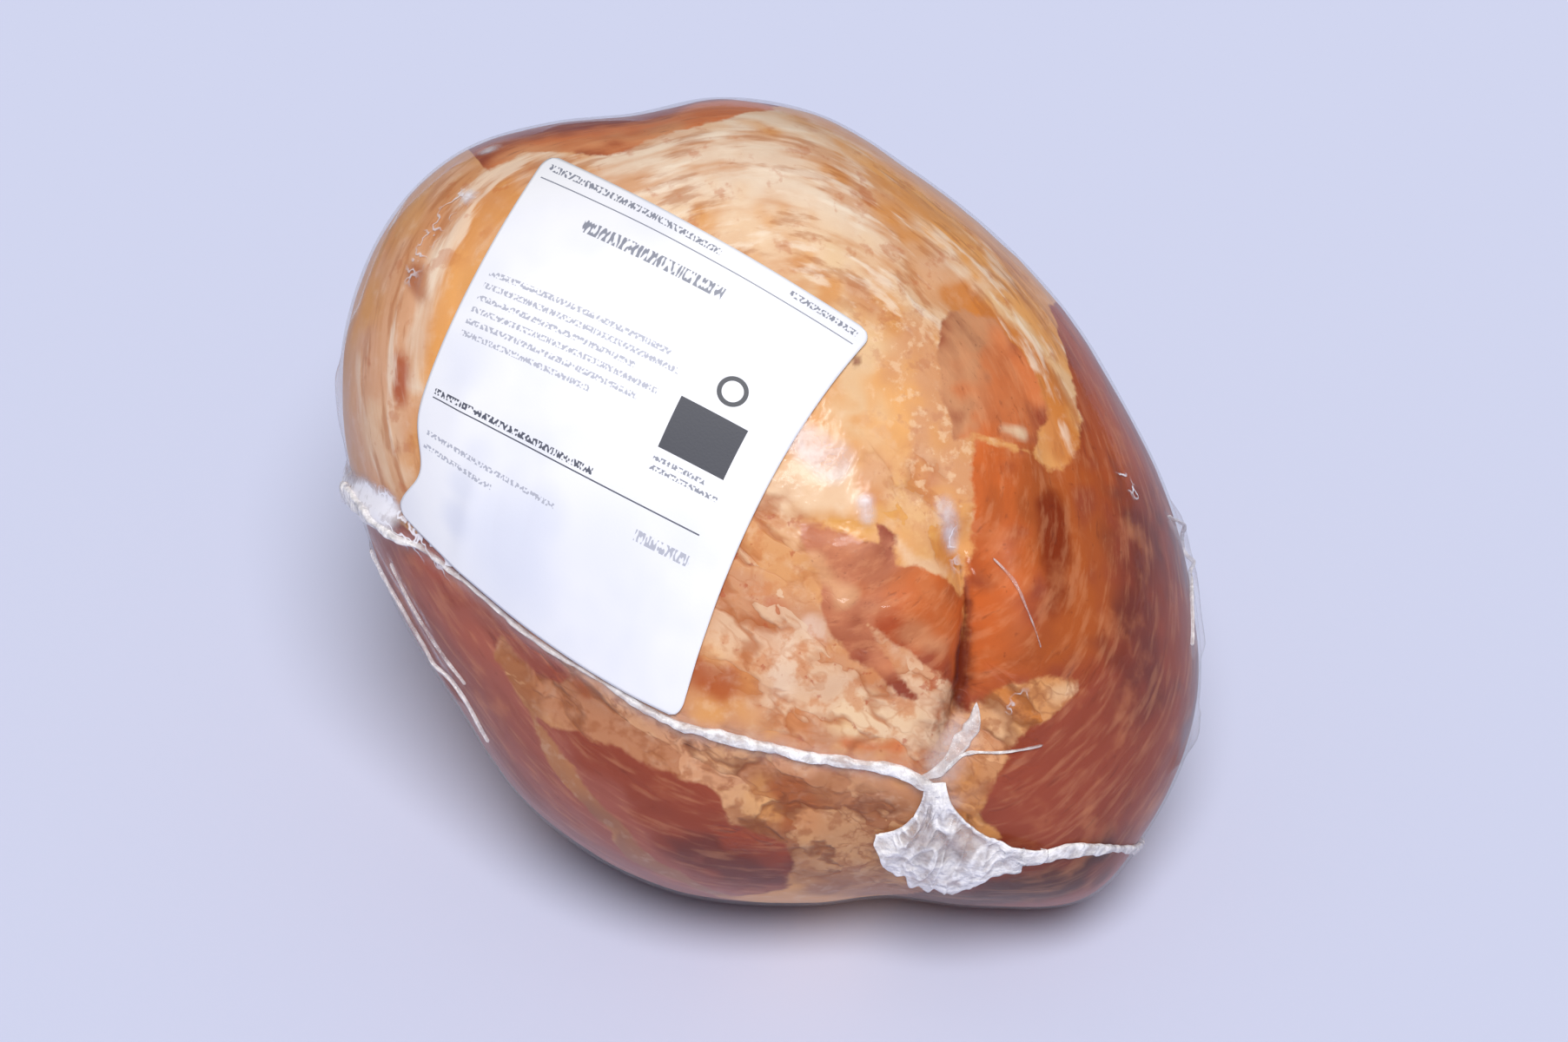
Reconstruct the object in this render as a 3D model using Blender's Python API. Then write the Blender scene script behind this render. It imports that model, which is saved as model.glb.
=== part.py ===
"""Whole smoked ham, shrink-wrapped in a clear bag with a gathered end seal, and its paper label.

Metres, +Z up. The ham lies on a small flat spot of its underside, its broad face tilted back
towards a viewer who stands on the -Y side. The shape is worked out in the frame of that face:
u runs to the right across the face, v runs up it and w stands out of it. Points of the face are
named by u and v as they are seen from a metre in front of it.
"""

import math

import bmesh
import bpy
import numpy as np
from mathutils import Vector

MM = 0.001

# Where the face stands
FACE_TILT = math.radians(38.0)
VIEW_DISTANCE = 1000.0
CENTRE = np.array([-0.1, -1.1, 71.2])
HALVINGS = 40

# Surface normals: the step to both sides, and a direction that the two steps are square to
NORMAL_STEP = 0.001
NORMAL_GUIDE = np.array([0.31, -0.52, 0.79])

# Outline of the ham seen square on to its face: angle in degrees from +u, and radius in mm
OUTLINE = (
    (0, 76.4), (15, 70.3), (32, 67.5), (50, 66.9), (68, 69.4), (84, 75.0), (98, 78.0),
    (110, 78.8), (120, 83.6), (131, 88.9), (157, 87.3), (168, 83.3), (180, 78.3),
    (195, 73.8), (212, 70.7), (232, 73.4), (255, 75.8), (276, 76.6), (287, 78.3),
    (298, 87.0), (309, 96.4), (320, 94.7), (334, 90.3), (348, 82.4),
)
FRONT_DEPTH = 62.0
BACK_DEPTH = 62.0
ROUNDNESS = 2.3
FLAT_SHOULDER = 1.1
FLAT_SHOULDER_AT = 140.0
FLAT_SHOULDER_SPREAD = 50.0

# Broad swells of the meat: u, v and w of the side it is on, reach and height in mm
SWELLS = (
    ((50.0, -24.0, 45.0), 26.0, 1.6),
    ((-14.0, -54.0, 40.0), 22.0, 1.6),
    ((-30.0, -35.0, -60.0), 45.0, 5.0),
    ((10.0, 62.0, 40.0), 24.0, 1.0),
)

# Furrows pressed into the meat: points on the face, half width and depth in mm
MUSCLE_CREASE = ((38.5, -9.0), (40.6, -21.5), (39.6, -36.0), (37.4, -46.0))
MUSCLE_CREASE_SIZE = (5.0, 4.6)
SHOULDER_FOLD = ((30.0, 41.0), (37.0, 39.0), (44.0, 30.0), (52.0, 17.0), (55.0, 6.0))
SHOULDER_FOLD_SIZE = (4.6, 1.3)
LEAN_FURROW = ((-56.0, -24.0), (-41.0, -36.0), (-18.0, -47.0), (6.0, -57.0))
LEAN_FURROW_SIZE = (4.6, 1.0)

# Low lobes of the fat beside the crease
LOBE_CENTRE = (10.0, -30.0)
LOBE_REACH = 22.0
LOBE_PITCH = (17.0, 14.0)
LOBE_HEIGHT = 0.6
LOBE_TURN = math.radians(35.0)

# The flat spot that the ham rests on
REST_SOFTNESS = 3.0

# End seal of the bag: a raised fin across the face, and its branches
SEAL_PATH = (
    (-81.0, 9.0, -14.0), (-82.0, 4.3, None), (-77.3, 0.7, None), (-73.6, -3.4, None),
    (-68.3, -9.6, None), (-59.6, -17.6, None), (-46.0, -27.6, None), (-31.4, -36.4, None),
    (-20.5, -41.6, None), (-6.3, -44.6, None), (10.4, -48.6, None), (30.6, -53.4, None),
    (34.0, -56.0, None),
)
UPPER_BRANCH = ((29.0, -53.4, None), (36.0, -49.0, None), (40.6, -41.6, None))
SIDE_BRANCH = ((33.0, -52.6, None), (43.0, -48.6, None), (50.4, -45.6, None))
HEM_RIDGE = (
    (44.0, -69.0, None), (55.4, -66.2, None), (64.0, -65.4, None), (70.0, -65.0, None),
    (72.0, -64.0, -14.0),
)
FIN_WIDTH = 2.6
FIN_HEIGHT = 1.8
BRANCH_WIDTH = 2.4
BRANCH_HEIGHT = 1.3
FIN_ROOT = 2.0
FIN_FADE = 0.12
FIN_SUNK_END = 0.6
# Section of a fin, from side to side: share of its width, and share of its height or root
FIN_SECTION = ((-0.5, -1.0), (0.5, -1.0), (0.5, 0.55), (0.3, 1.0), (-0.3, 1.0), (-0.5, 0.55))
SEAL_RINGS = 56
HEM_RINGS = 16
BRANCH_RINGS = 9

# Gathered tail of the bag: neck, the corners of its hem, and how far it stands off
TAIL_NECK = ((29.4, -53.0), (34.2, -53.4))
TAIL_HEM = (
    (20.6, -63.2), (25.6, -71.0), (31.0, -74.2), (38.2, -73.2), (44.4, -69.6), (55.0, -66.4),
)
TAIL_LIFT = (1.2, 5.2)
TAIL_EDGE_LIFT = 0.25
TAIL_ROOT = 6.0
TAIL_RIPPLE = 0.9
TAIL_RIPPLE_COUNT = 4.5
TAIL_COLUMNS = 21
TAIL_ROWS = 9

# Paper label: its left edge, middle and right edge on the face, each from top to bottom
LABEL_COLUMNS = (
    ((-42.6, 66.8), (-64.8, 25.4), (-71.0, -0.8)),
    ((-13.0, 52.1), (-34.7, 10.4), (-44.8, -24.7)),
    ((19.5, 32.4), (-4.7, -5.0), (-17.2, -40.6)),
)
LABEL_MIDDLE = 0.58
LABEL_GAP = 0.5
LABEL_THICKNESS = 0.4
LABEL_CORNER = 0.035

BODY_CUTS = 24
LABEL_COLUMN_COUNT = 18
LABEL_ROW_COUNT = 20


def material(name, colour, roughness):
    """A Principled material of one linear colour."""
    made = bpy.data.materials.new(name)
    made.use_nodes = True
    shader = made.node_tree.nodes["Principled BSDF"]
    shader.inputs["Base Color"].default_value = (*colour, 1.0)
    shader.inputs["Roughness"].default_value = roughness
    shader.inputs["Metallic"].default_value = 0.0
    return made


def object_from(name, mesh_data, finish):
    """An object of the scene that holds a bmesh, shaded smooth."""
    mesh = bpy.data.meshes.new(name)
    mesh_data.to_mesh(mesh)
    mesh_data.free()
    mesh.shade_smooth()
    mesh.materials.append(finish)
    made = bpy.data.objects.new(name, mesh)
    bpy.context.scene.collection.objects.link(made)
    return made


def unit(vectors):
    """The vectors at length one."""
    return vectors / np.linalg.norm(vectors, axis=-1, keepdims=True)


def outline_radius(angle):
    """Radius of the outline at angles in radians, by a closed cubic through the named radii."""
    knots = np.radians([place for place, _ in OUTLINE])
    radii = np.array([radius for _, radius in OUTLINE])
    knots = np.concatenate([knots[-2:] - 2 * math.pi, knots, knots[:2] + 2 * math.pi])
    radii = np.concatenate([radii[-2:], radii, radii[:2]])
    slopes = np.gradient(radii, knots)
    angle = np.mod(angle, 2 * math.pi)
    after = np.clip(np.searchsorted(knots, angle, side="right"), 1, len(knots) - 1)
    before = after - 1
    span = knots[after] - knots[before]
    t = (angle - knots[before]) / span
    return (
        (2 * t**3 - 3 * t**2 + 1) * radii[before]
        + (t**3 - 2 * t**2 + t) * span * slopes[before]
        + (3 * t**2 - 2 * t**3) * radii[after]
        + (t**3 - t**2) * span * slopes[after]
    )


def plain_radius(directions):
    """Distance of the ham's surface from its centre, before swells and furrows."""
    across = np.hypot(directions[:, 0], directions[:, 1])
    angle = np.arctan2(directions[:, 1], directions[:, 0])
    turned = angle - math.radians(FLAT_SHOULDER_AT)
    away = np.degrees(np.abs(np.mod(turned + math.pi, 2 * math.pi) - math.pi))
    power = ROUNDNESS + FLAT_SHOULDER * np.exp(-((away / FLAT_SHOULDER_SPREAD) ** 2))
    depth = np.where(directions[:, 2] > 0, FRONT_DEPTH, BACK_DEPTH)
    reach = (across / outline_radius(angle)) ** power + (np.abs(directions[:, 2]) / depth) ** power
    return reach ** (-1 / power)


def toward(u, v, w=None):
    """Unit direction from the centre to a point of the face, or past its rim where w is given."""
    if w is not None:
        return unit(np.array([u, v, w], float))
    low, high = 0.0, FRONT_DEPTH
    for _ in range(HALVINGS):
        w = (low + high) / 2
        nearer = 1 - w / VIEW_DISTANCE
        point = np.array([[u * nearer, v * nearer, w]])
        inside = np.linalg.norm(point) < plain_radius(unit(point))[0]
        low, high = (w, high) if inside else (low, w)
    return unit(point[0])


def distance_to_path(directions, path):
    """Distance in mm over the surface from each direction to a path of directions."""
    scale = plain_radius(directions)
    nearest = np.full(len(directions), np.inf)
    for start, end in zip(path[:-1], path[1:]):
        along = end - start
        t = np.clip((directions - start) @ along / (along @ along), 0, 1)
        nearest = np.minimum(nearest, np.linalg.norm(directions - start - t[:, None] * along, axis=1))
    return nearest * scale


def furrow(directions, points, size):
    """Depth in mm of a furrow with a bell-shaped section along points of the face."""
    half_width, depth = size
    path = [toward(*point) for point in points]
    return depth * np.exp(-((distance_to_path(directions, path) / half_width) ** 2))


def relief(directions):
    """Height in mm of the swells, lobes and furrows over the plain ham."""
    scale = plain_radius(directions)
    height = np.zeros(len(directions))
    for centre, reach, rise in SWELLS:
        off = np.linalg.norm(directions - unit(np.array(centre)), axis=1) * scale
        height += rise * np.exp(-((off / reach) ** 2))
    for points, size in (
        (MUSCLE_CREASE, MUSCLE_CREASE_SIZE),
        (SHOULDER_FOLD, SHOULDER_FOLD_SIZE),
        (LEAN_FURROW, LEAN_FURROW_SIZE),
    ):
        height -= furrow(directions, points, size)
    u = directions[:, 0] * scale - LOBE_CENTRE[0]
    v = directions[:, 1] * scale - LOBE_CENTRE[1]
    along = u * math.cos(LOBE_TURN) + v * math.sin(LOBE_TURN)
    aside = v * math.cos(LOBE_TURN) - u * math.sin(LOBE_TURN)
    window = np.exp(-((np.hypot(u, v) / LOBE_REACH) ** 2)) * (directions[:, 2] > 0)
    waves = np.cos(2 * math.pi * along / LOBE_PITCH[0]) * np.cos(2 * math.pi * aside / LOBE_PITCH[1])
    return height + LOBE_HEIGHT * window * waves


def to_row(points):
    """Points of the face frame in the part's own frame, pressed flat where they meet the table."""
    sine, cosine = math.sin(FACE_TILT), math.cos(FACE_TILT)
    placed = np.column_stack([
        points[:, 0],
        points[:, 1] * sine - points[:, 2] * cosine,
        points[:, 1] * cosine + points[:, 2] * sine,
    ]) + CENTRE
    height = placed[:, 2]
    pressed = (height + REST_SOFTNESS) ** 2 / (4 * REST_SOFTNESS)
    near_table = np.where(height > -REST_SOFTNESS, pressed, 0.0)
    placed[:, 2] = np.where(height >= REST_SOFTNESS, height, near_table)
    return placed


def surface(directions):
    """Points in mm of the wrapped ham's surface along unit directions of the face frame."""
    return to_row(directions * (plain_radius(directions) + relief(directions))[:, None])


def surface_with_normals(directions):
    """Surface points and outward normals, by small steps to both sides."""
    aside = unit(np.cross(directions, NORMAL_GUIDE)) * NORMAL_STEP
    other = unit(np.cross(directions, aside)) * NORMAL_STEP
    points = surface(directions)
    du = surface(unit(directions + aside)) - surface(unit(directions - aside))
    dv = surface(unit(directions + other)) - surface(unit(directions - other))
    normals = unit(np.cross(du, dv))
    outward = np.sign(np.sum(normals * (points - CENTRE), axis=1))
    return points, normals * outward[:, None]


def make_ham(finish):
    """The ham's body: a cube cut into a grid and blown up to the surface."""
    shape = bmesh.new()
    bmesh.ops.create_cube(shape, size=2.0)
    bmesh.ops.subdivide_edges(shape, edges=shape.edges[:], cuts=BODY_CUTS, use_grid_fill=True)
    corners = np.array([vertex.co[:] for vertex in shape.verts])
    directions = unit(np.tan(corners * math.pi / 4))
    for vertex, point in zip(shape.verts, surface(directions)):
        vertex.co = Vector(point) * MM
    bmesh.ops.triangulate(shape, faces=shape.faces[:])
    return object_from("ham_in_film", shape, finish)


def smooth_path(points, count):
    """Directions at even steps on a smooth curve through points of the face."""
    named = np.array([toward(*point) for point in points])
    steps = np.linalg.norm(np.diff(named, axis=0), axis=1)
    places = np.concatenate([[0.0], np.cumsum(steps)])
    slopes = np.gradient(named, places, axis=0)
    wanted = np.linspace(0, places[-1], count)
    after = np.clip(np.searchsorted(places, wanted, side="right"), 1, len(places) - 1)
    before = after - 1
    span = (places[after] - places[before])[:, None]
    t = (wanted - places[before])[:, None] / span
    curve = (
        (2 * t**3 - 3 * t**2 + 1) * named[before]
        + (t**3 - 2 * t**2 + t) * span * slopes[before]
        + (3 * t**2 - 2 * t**3) * named[after]
        + (t**3 - t**2) * span * slopes[after]
    )
    return unit(curve)


def make_fin(name, points, width, height, count, finish):
    """A raised seal along a path of the face: a rounded section that sinks away at both ends."""
    directions = smooth_path(points, count)
    places, normals = surface_with_normals(directions)
    tangents = unit(np.gradient(places, axis=0))
    sides = unit(np.cross(normals, tangents))
    share = np.linspace(0, 1, count)
    rise = np.clip(np.minimum(share, 1 - share) / FIN_FADE, 0, 1)
    shape = bmesh.new()
    rings = []
    for place, normal, side, full in zip(places, normals, sides, rise):
        ring = []
        for across, up in FIN_SECTION:
            lift = -FIN_ROOT if up < 0 else up * height * full - FIN_SUNK_END * (1 - full)
            ring.append(shape.verts.new(Vector(place + side * across * width + normal * lift) * MM))
        rings.append(ring)
    for ring, following in zip(rings[:-1], rings[1:]):
        for i in range(len(FIN_SECTION)):
            j = (i + 1) % len(FIN_SECTION)
            shape.faces.new((ring[i], ring[j], following[j], following[i]))
    shape.faces.new(rings[0][::-1])
    shape.faces.new(rings[-1])
    bmesh.ops.recalc_face_normals(shape, faces=shape.faces[:])
    bmesh.ops.triangulate(shape, faces=shape.faces[:])
    return object_from(name, shape, finish)


def close_rim(shape, first, second):
    """Faces that join the rims of two sheets, each a list of rows of vertices."""
    rims = []
    for sheet in (first, second):
        right = [row[-1] for row in sheet[1:-1]]
        left = [row[0] for row in sheet[-2:0:-1]]
        rims.append(sheet[0] + right + sheet[-1][::-1] + left)
    for i in range(len(rims[0])):
        j = (i + 1) % len(rims[0])
        shape.faces.new((rims[0][i], rims[0][j], rims[1][j], rims[1][i]))


def make_tail(finish):
    """The gathered tail: a fan from the neck to the hem, thick enough to root in the ham."""
    neck = np.array([toward(*point) for point in TAIL_NECK])
    hem = smooth_path([(*point, None) for point in TAIL_HEM], TAIL_COLUMNS)
    share = np.linspace(0, 1, TAIL_COLUMNS)[:, None]
    top = unit(neck[0] * (1 - share) + neck[1] * share)
    shape = bmesh.new()
    outer, inner = [], []
    for row in range(TAIL_ROWS):
        down = row / (TAIL_ROWS - 1)
        directions = unit(top * (1 - down) + hem * down)
        places, normals = surface_with_normals(directions)
        ripple = TAIL_RIPPLE * down * np.sin(share[:, 0] * TAIL_RIPPLE_COUNT * 2 * math.pi)
        inward = TAIL_EDGE_LIFT + (1 - TAIL_EDGE_LIFT) * np.sin(share[:, 0] * math.pi) ** 0.5
        lift = (TAIL_LIFT[0] + (TAIL_LIFT[1] - TAIL_LIFT[0]) * down) * inward + ripple
        outer.append([shape.verts.new(Vector(p) * MM) for p in places + normals * lift[:, None]])
        inner.append([shape.verts.new(Vector(p) * MM) for p in places - normals * TAIL_ROOT])
    for sheet in (outer, inner):
        for upper, lower in zip(sheet[:-1], sheet[1:]):
            for i in range(TAIL_COLUMNS - 1):
                shape.faces.new((upper[i], upper[i + 1], lower[i + 1], lower[i]))
    close_rim(shape, outer, inner)
    bmesh.ops.recalc_face_normals(shape, faces=shape.faces[:])
    bmesh.ops.triangulate(shape, faces=shape.faces[:])
    return object_from("tail", shape, finish)


def fuse(body, extra):
    """Joins a fin or the tail to the ham, and leaves it as a hidden helper."""
    extra.hide_render = True
    extra.display_type = "WIRE"
    joined = body.modifiers.new(f"with_{extra.name}", "BOOLEAN")
    joined.operation = "UNION"
    joined.solver = "EXACT"
    joined.object = extra


def label_place(s, t):
    """Face coordinates of the label at s across and t down, by parabolas through its named points."""
    def parabola(share, middle, values):
        first = (share - middle) * (share - 1) / middle
        second = share * (share - 1) / (middle * (middle - 1))
        third = share * (share - middle) / (1 - middle)
        return first * values[0] + second * values[1] + third * values[2]

    columns = [parabola(t, LABEL_MIDDLE, np.array(column)) for column in LABEL_COLUMNS]
    return parabola(s, 0.5, columns)


def make_label(finish):
    """The label: a thin plate with rounded corners that follows the ham at a small gap."""
    shape = bmesh.new()
    directions = []
    for row in range(LABEL_ROW_COUNT + 1):
        for column in range(LABEL_COLUMN_COUNT + 1):
            s, t = column / LABEL_COLUMN_COUNT, row / LABEL_ROW_COUNT
            # A point beyond the quarter circle of a corner moves in along the row
            into_corner = LABEL_CORNER - min(t, 1 - t)
            if into_corner > 0:
                inset = LABEL_CORNER - math.sqrt(max(LABEL_CORNER**2 - into_corner**2, 0.0))
                s = inset + s * (1 - 2 * inset)
            directions.append(toward(*label_place(s, t)))
    places, normals = surface_with_normals(np.array(directions))
    width = LABEL_COLUMN_COUNT + 1
    sheets = []
    for lift in (LABEL_GAP, LABEL_GAP + LABEL_THICKNESS):
        verts = [shape.verts.new(Vector(p) * MM) for p in places + normals * lift]
        sheets.append([verts[i:i + width] for i in range(0, len(verts), width)])
    for sheet in sheets:
        for upper, lower in zip(sheet[:-1], sheet[1:]):
            for i in range(width - 1):
                shape.faces.new((upper[i], upper[i + 1], lower[i + 1], lower[i]))
    close_rim(shape, *sheets)
    bmesh.ops.recalc_face_normals(shape, faces=shape.faces[:])
    bmesh.ops.triangulate(shape, faces=shape.faces[:])
    return object_from("label", shape, finish)


def main():
    for old in list(bpy.data.objects):
        bpy.data.objects.remove(old, do_unlink=True)
    meat = material("smoked_ham", (0.48, 0.17, 0.06), 0.35)
    paper = material("label_paper", (0.85, 0.86, 0.88), 0.6)
    ham = make_ham(meat)
    fuse(ham, make_fin("seal", SEAL_PATH, FIN_WIDTH, FIN_HEIGHT, SEAL_RINGS, meat))
    fuse(ham, make_fin("upper_branch", UPPER_BRANCH, BRANCH_WIDTH, BRANCH_HEIGHT, BRANCH_RINGS, meat))
    fuse(ham, make_fin("side_branch", SIDE_BRANCH, BRANCH_WIDTH, BRANCH_HEIGHT, BRANCH_RINGS, meat))
    fuse(ham, make_fin("hem_ridge", HEM_RIDGE, BRANCH_WIDTH, BRANCH_HEIGHT, HEM_RINGS, meat))
    fuse(ham, make_tail(meat))
    make_label(paper)


main()
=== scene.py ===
"""Looks of a whole smoked ham in a clear shrink bag, with its gathered seal and paper label.

The ham is worked out in the frame of its broad face, in millimetres: u runs to the right across
the face, v runs up it and w stands out of it. A place on the face is named by u and v as they
are seen from a metre in front of it. Each shape is an array of unit directions from the middle
of the ham, sent out to its surface, and goes into its mesh in metres with +Z up.
"""

import itertools
import logging
import math
from dataclasses import dataclass, field
from enum import Enum

import bpy
import numpy as np
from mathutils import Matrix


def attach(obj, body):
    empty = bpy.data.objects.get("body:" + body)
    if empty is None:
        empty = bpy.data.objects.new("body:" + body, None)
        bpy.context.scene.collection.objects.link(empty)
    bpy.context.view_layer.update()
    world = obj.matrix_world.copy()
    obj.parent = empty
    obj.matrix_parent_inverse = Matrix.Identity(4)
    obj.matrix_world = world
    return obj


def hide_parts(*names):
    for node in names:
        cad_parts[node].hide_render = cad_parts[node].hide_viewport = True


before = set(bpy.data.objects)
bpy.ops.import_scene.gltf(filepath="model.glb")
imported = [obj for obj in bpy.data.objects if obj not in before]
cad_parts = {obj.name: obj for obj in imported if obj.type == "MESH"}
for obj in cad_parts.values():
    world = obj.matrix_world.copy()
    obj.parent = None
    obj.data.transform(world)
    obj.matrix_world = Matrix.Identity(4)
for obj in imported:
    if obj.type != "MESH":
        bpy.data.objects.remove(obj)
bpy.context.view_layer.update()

LOG = logging.getLogger("smoked_ham")
MM = 0.001

# Sockets of Blender's Mix node when it mixes colours
MIX_FACTOR, MIX_A, MIX_B, MIX_RESULT = 0, 6, 7, 2

Place = tuple[float, ...]
Path = tuple[Place, ...]
Octaves = tuple[tuple[float, float, int], ...]
Socket = bpy.types.NodeSocket


def linear(colour: str) -> tuple[float, float, float, float]:
    """Turns an sRGB hex colour into linear light, by the standard's two-part curve.

    Args:
        colour: Six hex digits, with or without a hash sign.

    Returns:
        Red, green and blue in linear light, and an alpha of one.
    """
    digits = colour.lstrip("#")
    channels = [int(digits[i:i + 2], 16) / 255 for i in (0, 2, 4)]
    light = [c / 12.92 if c <= 0.04045 else ((c + 0.055) / 1.055) ** 2.4 for c in channels]
    return (light[0], light[1], light[2], 1.0)


def unit(vectors: np.ndarray) -> np.ndarray:
    """Returns the vectors at length one."""
    return vectors / np.linalg.norm(vectors, axis=-1, keepdims=True)


def ease(value: np.ndarray, low: float, high: float) -> np.ndarray:
    """Steps smoothly from 0 at low to 1 at high, by 3 t squared less 2 t cubed.

    Args:
        value: The values to step.
        low: Where the step starts.
        high: Where the step ends.

    Returns:
        The stepped values.
    """
    share = np.clip((value - low) / (high - low), 0, 1)
    return share * share * (3 - 2 * share)


def noise(points: np.ndarray, size: float, seed: int) -> np.ndarray:
    """Smooth noise from -1 to 1: random values on a lattice, blended by eased distance.

    Args:
        points: Places in mm, one a row.
        size: Spacing of the lattice in mm.
        seed: Which lattice of random values.

    Returns:
        One value for each place.
    """
    period = 32
    table = np.random.default_rng(seed).uniform(-1, 1, (period, period, period))
    cell = np.floor(points / size).astype(int)
    part = points / size - cell
    part = part * part * (3 - 2 * part)
    total = np.zeros(len(points))
    for corner in itertools.product((0, 1), repeat=3):
        x, y, z = ((cell + corner) % period).T
        total += np.prod(np.where(corner, part, 1 - part), axis=1) * table[x, y, z]
    return total


def rough(points: np.ndarray, octaves: Octaves) -> np.ndarray:
    """Sum of noises over places in mm, each named by its size in mm, its height and its seed."""
    return sum(height * noise(points, size, seed) for size, height, seed in octaves)


def cubic(knots: np.ndarray, values: np.ndarray, wanted: np.ndarray) -> np.ndarray:
    """Cubic Hermite curve through values at knots, with slopes by central differences.

    Args:
        knots: Rising positions of the values.
        values: A value, or a row of them, for each knot.
        wanted: Positions to read.

    Returns:
        The curve at each wanted position.
    """
    slopes = np.gradient(values, knots, axis=0)
    after = np.clip(np.searchsorted(knots, wanted, side="right"), 1, len(knots) - 1)
    before = after - 1
    shape = (-1,) + (1,) * (values.ndim - 1)
    span = (knots[after] - knots[before]).reshape(shape)
    t = (wanted - knots[before]).reshape(shape) / span
    return (
        (2 * t**3 - 3 * t**2 + 1) * values[before]
        + (t**3 - 2 * t**2 + t) * span * slopes[before]
        + (3 * t**2 - 2 * t**3) * values[after]
        + (t**3 - t**2) * span * slopes[after]
    )


def parabola(share: np.ndarray, middle: float, values: list[np.ndarray]) -> np.ndarray:
    """Second-order curve through three values, at shares 0, middle and 1."""
    first = (share - middle) * (share - 1) / middle
    second = share * (share - 1) / (middle * (middle - 1))
    third = share * (share - middle) / (1 - middle)
    return first * values[0] + second * values[1] + third * values[2]


@dataclass
class HamForm:
    """Form of the wrapped ham: a rounded body swept from its outline, with swells and furrows.

    Sizes are in mm. The outline holds an angle in degrees from +u and a radius. A swell is a
    place, its reach and its height, and a furrow its path, half width and depth.
    """

    tilt: float = math.radians(38.0)
    centre: Place = (-0.1, -1.1, 71.2)
    view_distance: float = 1000.0
    depth: float = 62.0
    roundness: float = 2.3
    flat_shoulder: float = 1.1
    flat_shoulder_at: float = 140.0
    flat_shoulder_spread: float = 50.0
    rest_softness: float = 3.0
    halvings: int = 26
    normal_step: float = 0.001
    normal_guide: Place = (0.31, -0.52, 0.79)
    outline: Path = (
        (0, 76.4), (15, 70.3), (32, 67.5), (50, 66.9), (68, 69.4), (84, 75.0), (98, 78.0),
        (110, 78.8), (120, 83.6), (131, 88.9), (157, 87.3), (168, 83.3), (180, 78.3),
        (195, 73.8), (212, 70.7), (232, 73.4), (255, 75.8), (276, 76.6), (287, 78.3),
        (298, 87.0), (309, 96.4), (320, 94.7), (334, 90.3), (348, 82.4),
    )
    swells: tuple = (
        ((50.0, -24.0, 45.0), 26.0, 1.6),
        ((-14.0, -54.0, 40.0), 22.0, 1.6),
        ((-30.0, -35.0, -60.0), 45.0, 5.0),
        ((10.0, 62.0, 40.0), 24.0, 1.0),
    )
    furrows: tuple = (
        (((38.5, -9.0), (40.6, -21.5), (39.6, -36.0), (37.4, -46.0)), 5.0, 4.6),
        (((30.0, 41.0), (37.0, 39.0), (44.0, 30.0), (52.0, 17.0), (55.0, 6.0)), 4.6, 1.3),
        (((-56.0, -24.0), (-41.0, -36.0), (-18.0, -47.0), (6.0, -57.0)), 4.6, 1.0),
    )
    lobe_centre: Place = (10.0, -30.0)
    lobe_reach: float = 22.0
    lobe_pitch: Place = (17.0, 14.0)
    lobe_height: float = 0.6
    lobe_turn: float = math.radians(35.0)

    def outline_radius(self, angle: np.ndarray) -> np.ndarray:
        """Radius of the outline at angles in radians, by a closed cubic through its points."""
        knots = np.radians([place for place, _ in self.outline])
        radii = np.array([radius for _, radius in self.outline])
        knots = np.concatenate([knots[-2:] - 2 * math.pi, knots, knots[:2] + 2 * math.pi])
        radii = np.concatenate([radii[-2:], radii, radii[:2]])
        return cubic(knots, radii, np.mod(angle, 2 * math.pi))

    def plain_radius(self, directions: np.ndarray) -> np.ndarray:
        """Distance of the plain surface: a superellipse of outline radius by half depth."""
        across = np.hypot(directions[:, 0], directions[:, 1])
        angle = np.arctan2(directions[:, 1], directions[:, 0])
        turned = angle - math.radians(self.flat_shoulder_at)
        away = np.degrees(np.abs(np.mod(turned + math.pi, 2 * math.pi) - math.pi))
        shoulder = np.exp(-((away / self.flat_shoulder_spread) ** 2))
        power = self.roundness + self.flat_shoulder * shoulder
        reach = (across / self.outline_radius(angle)) ** power
        return (reach + (np.abs(directions[:, 2]) / self.depth) ** power) ** (-1 / power)

    def toward(self, places: np.ndarray) -> np.ndarray:
        """Directions to places of the face, found by halving the span that w can have.

        Args:
            places: Rows of u and v in mm, as seen from in front of the face.

        Returns:
            A unit direction for each row.
        """
        low = np.zeros(len(places))
        high = np.full(len(places), self.depth)
        for _ in range(self.halvings):
            w = (low + high) / 2
            nearer = 1 - w / self.view_distance
            points = np.column_stack([places[:, 0] * nearer, places[:, 1] * nearer, w])
            inside = np.linalg.norm(points, axis=1) < self.plain_radius(unit(points))
            low, high = np.where(inside, w, low), np.where(inside, high, w)
        return unit(points)

    def directions_of(self, path: Path) -> np.ndarray:
        """Directions to a path's places: on the face by u and v, or by a w given third."""
        rows = [self.toward(np.array([place[:2]]))[0] if len(place) == 2 else place for place in path]
        return unit(np.array(rows, float))

    def smooth_path(self, path: Path, count: int) -> np.ndarray:
        """Directions at even steps on a smooth curve through the places of a path."""
        named = self.directions_of(path)
        steps = np.linalg.norm(np.diff(named, axis=0), axis=1)
        knots = np.concatenate([[0.0], np.cumsum(steps)])
        return unit(cubic(knots, named, np.linspace(0, knots[-1], count)))

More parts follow.
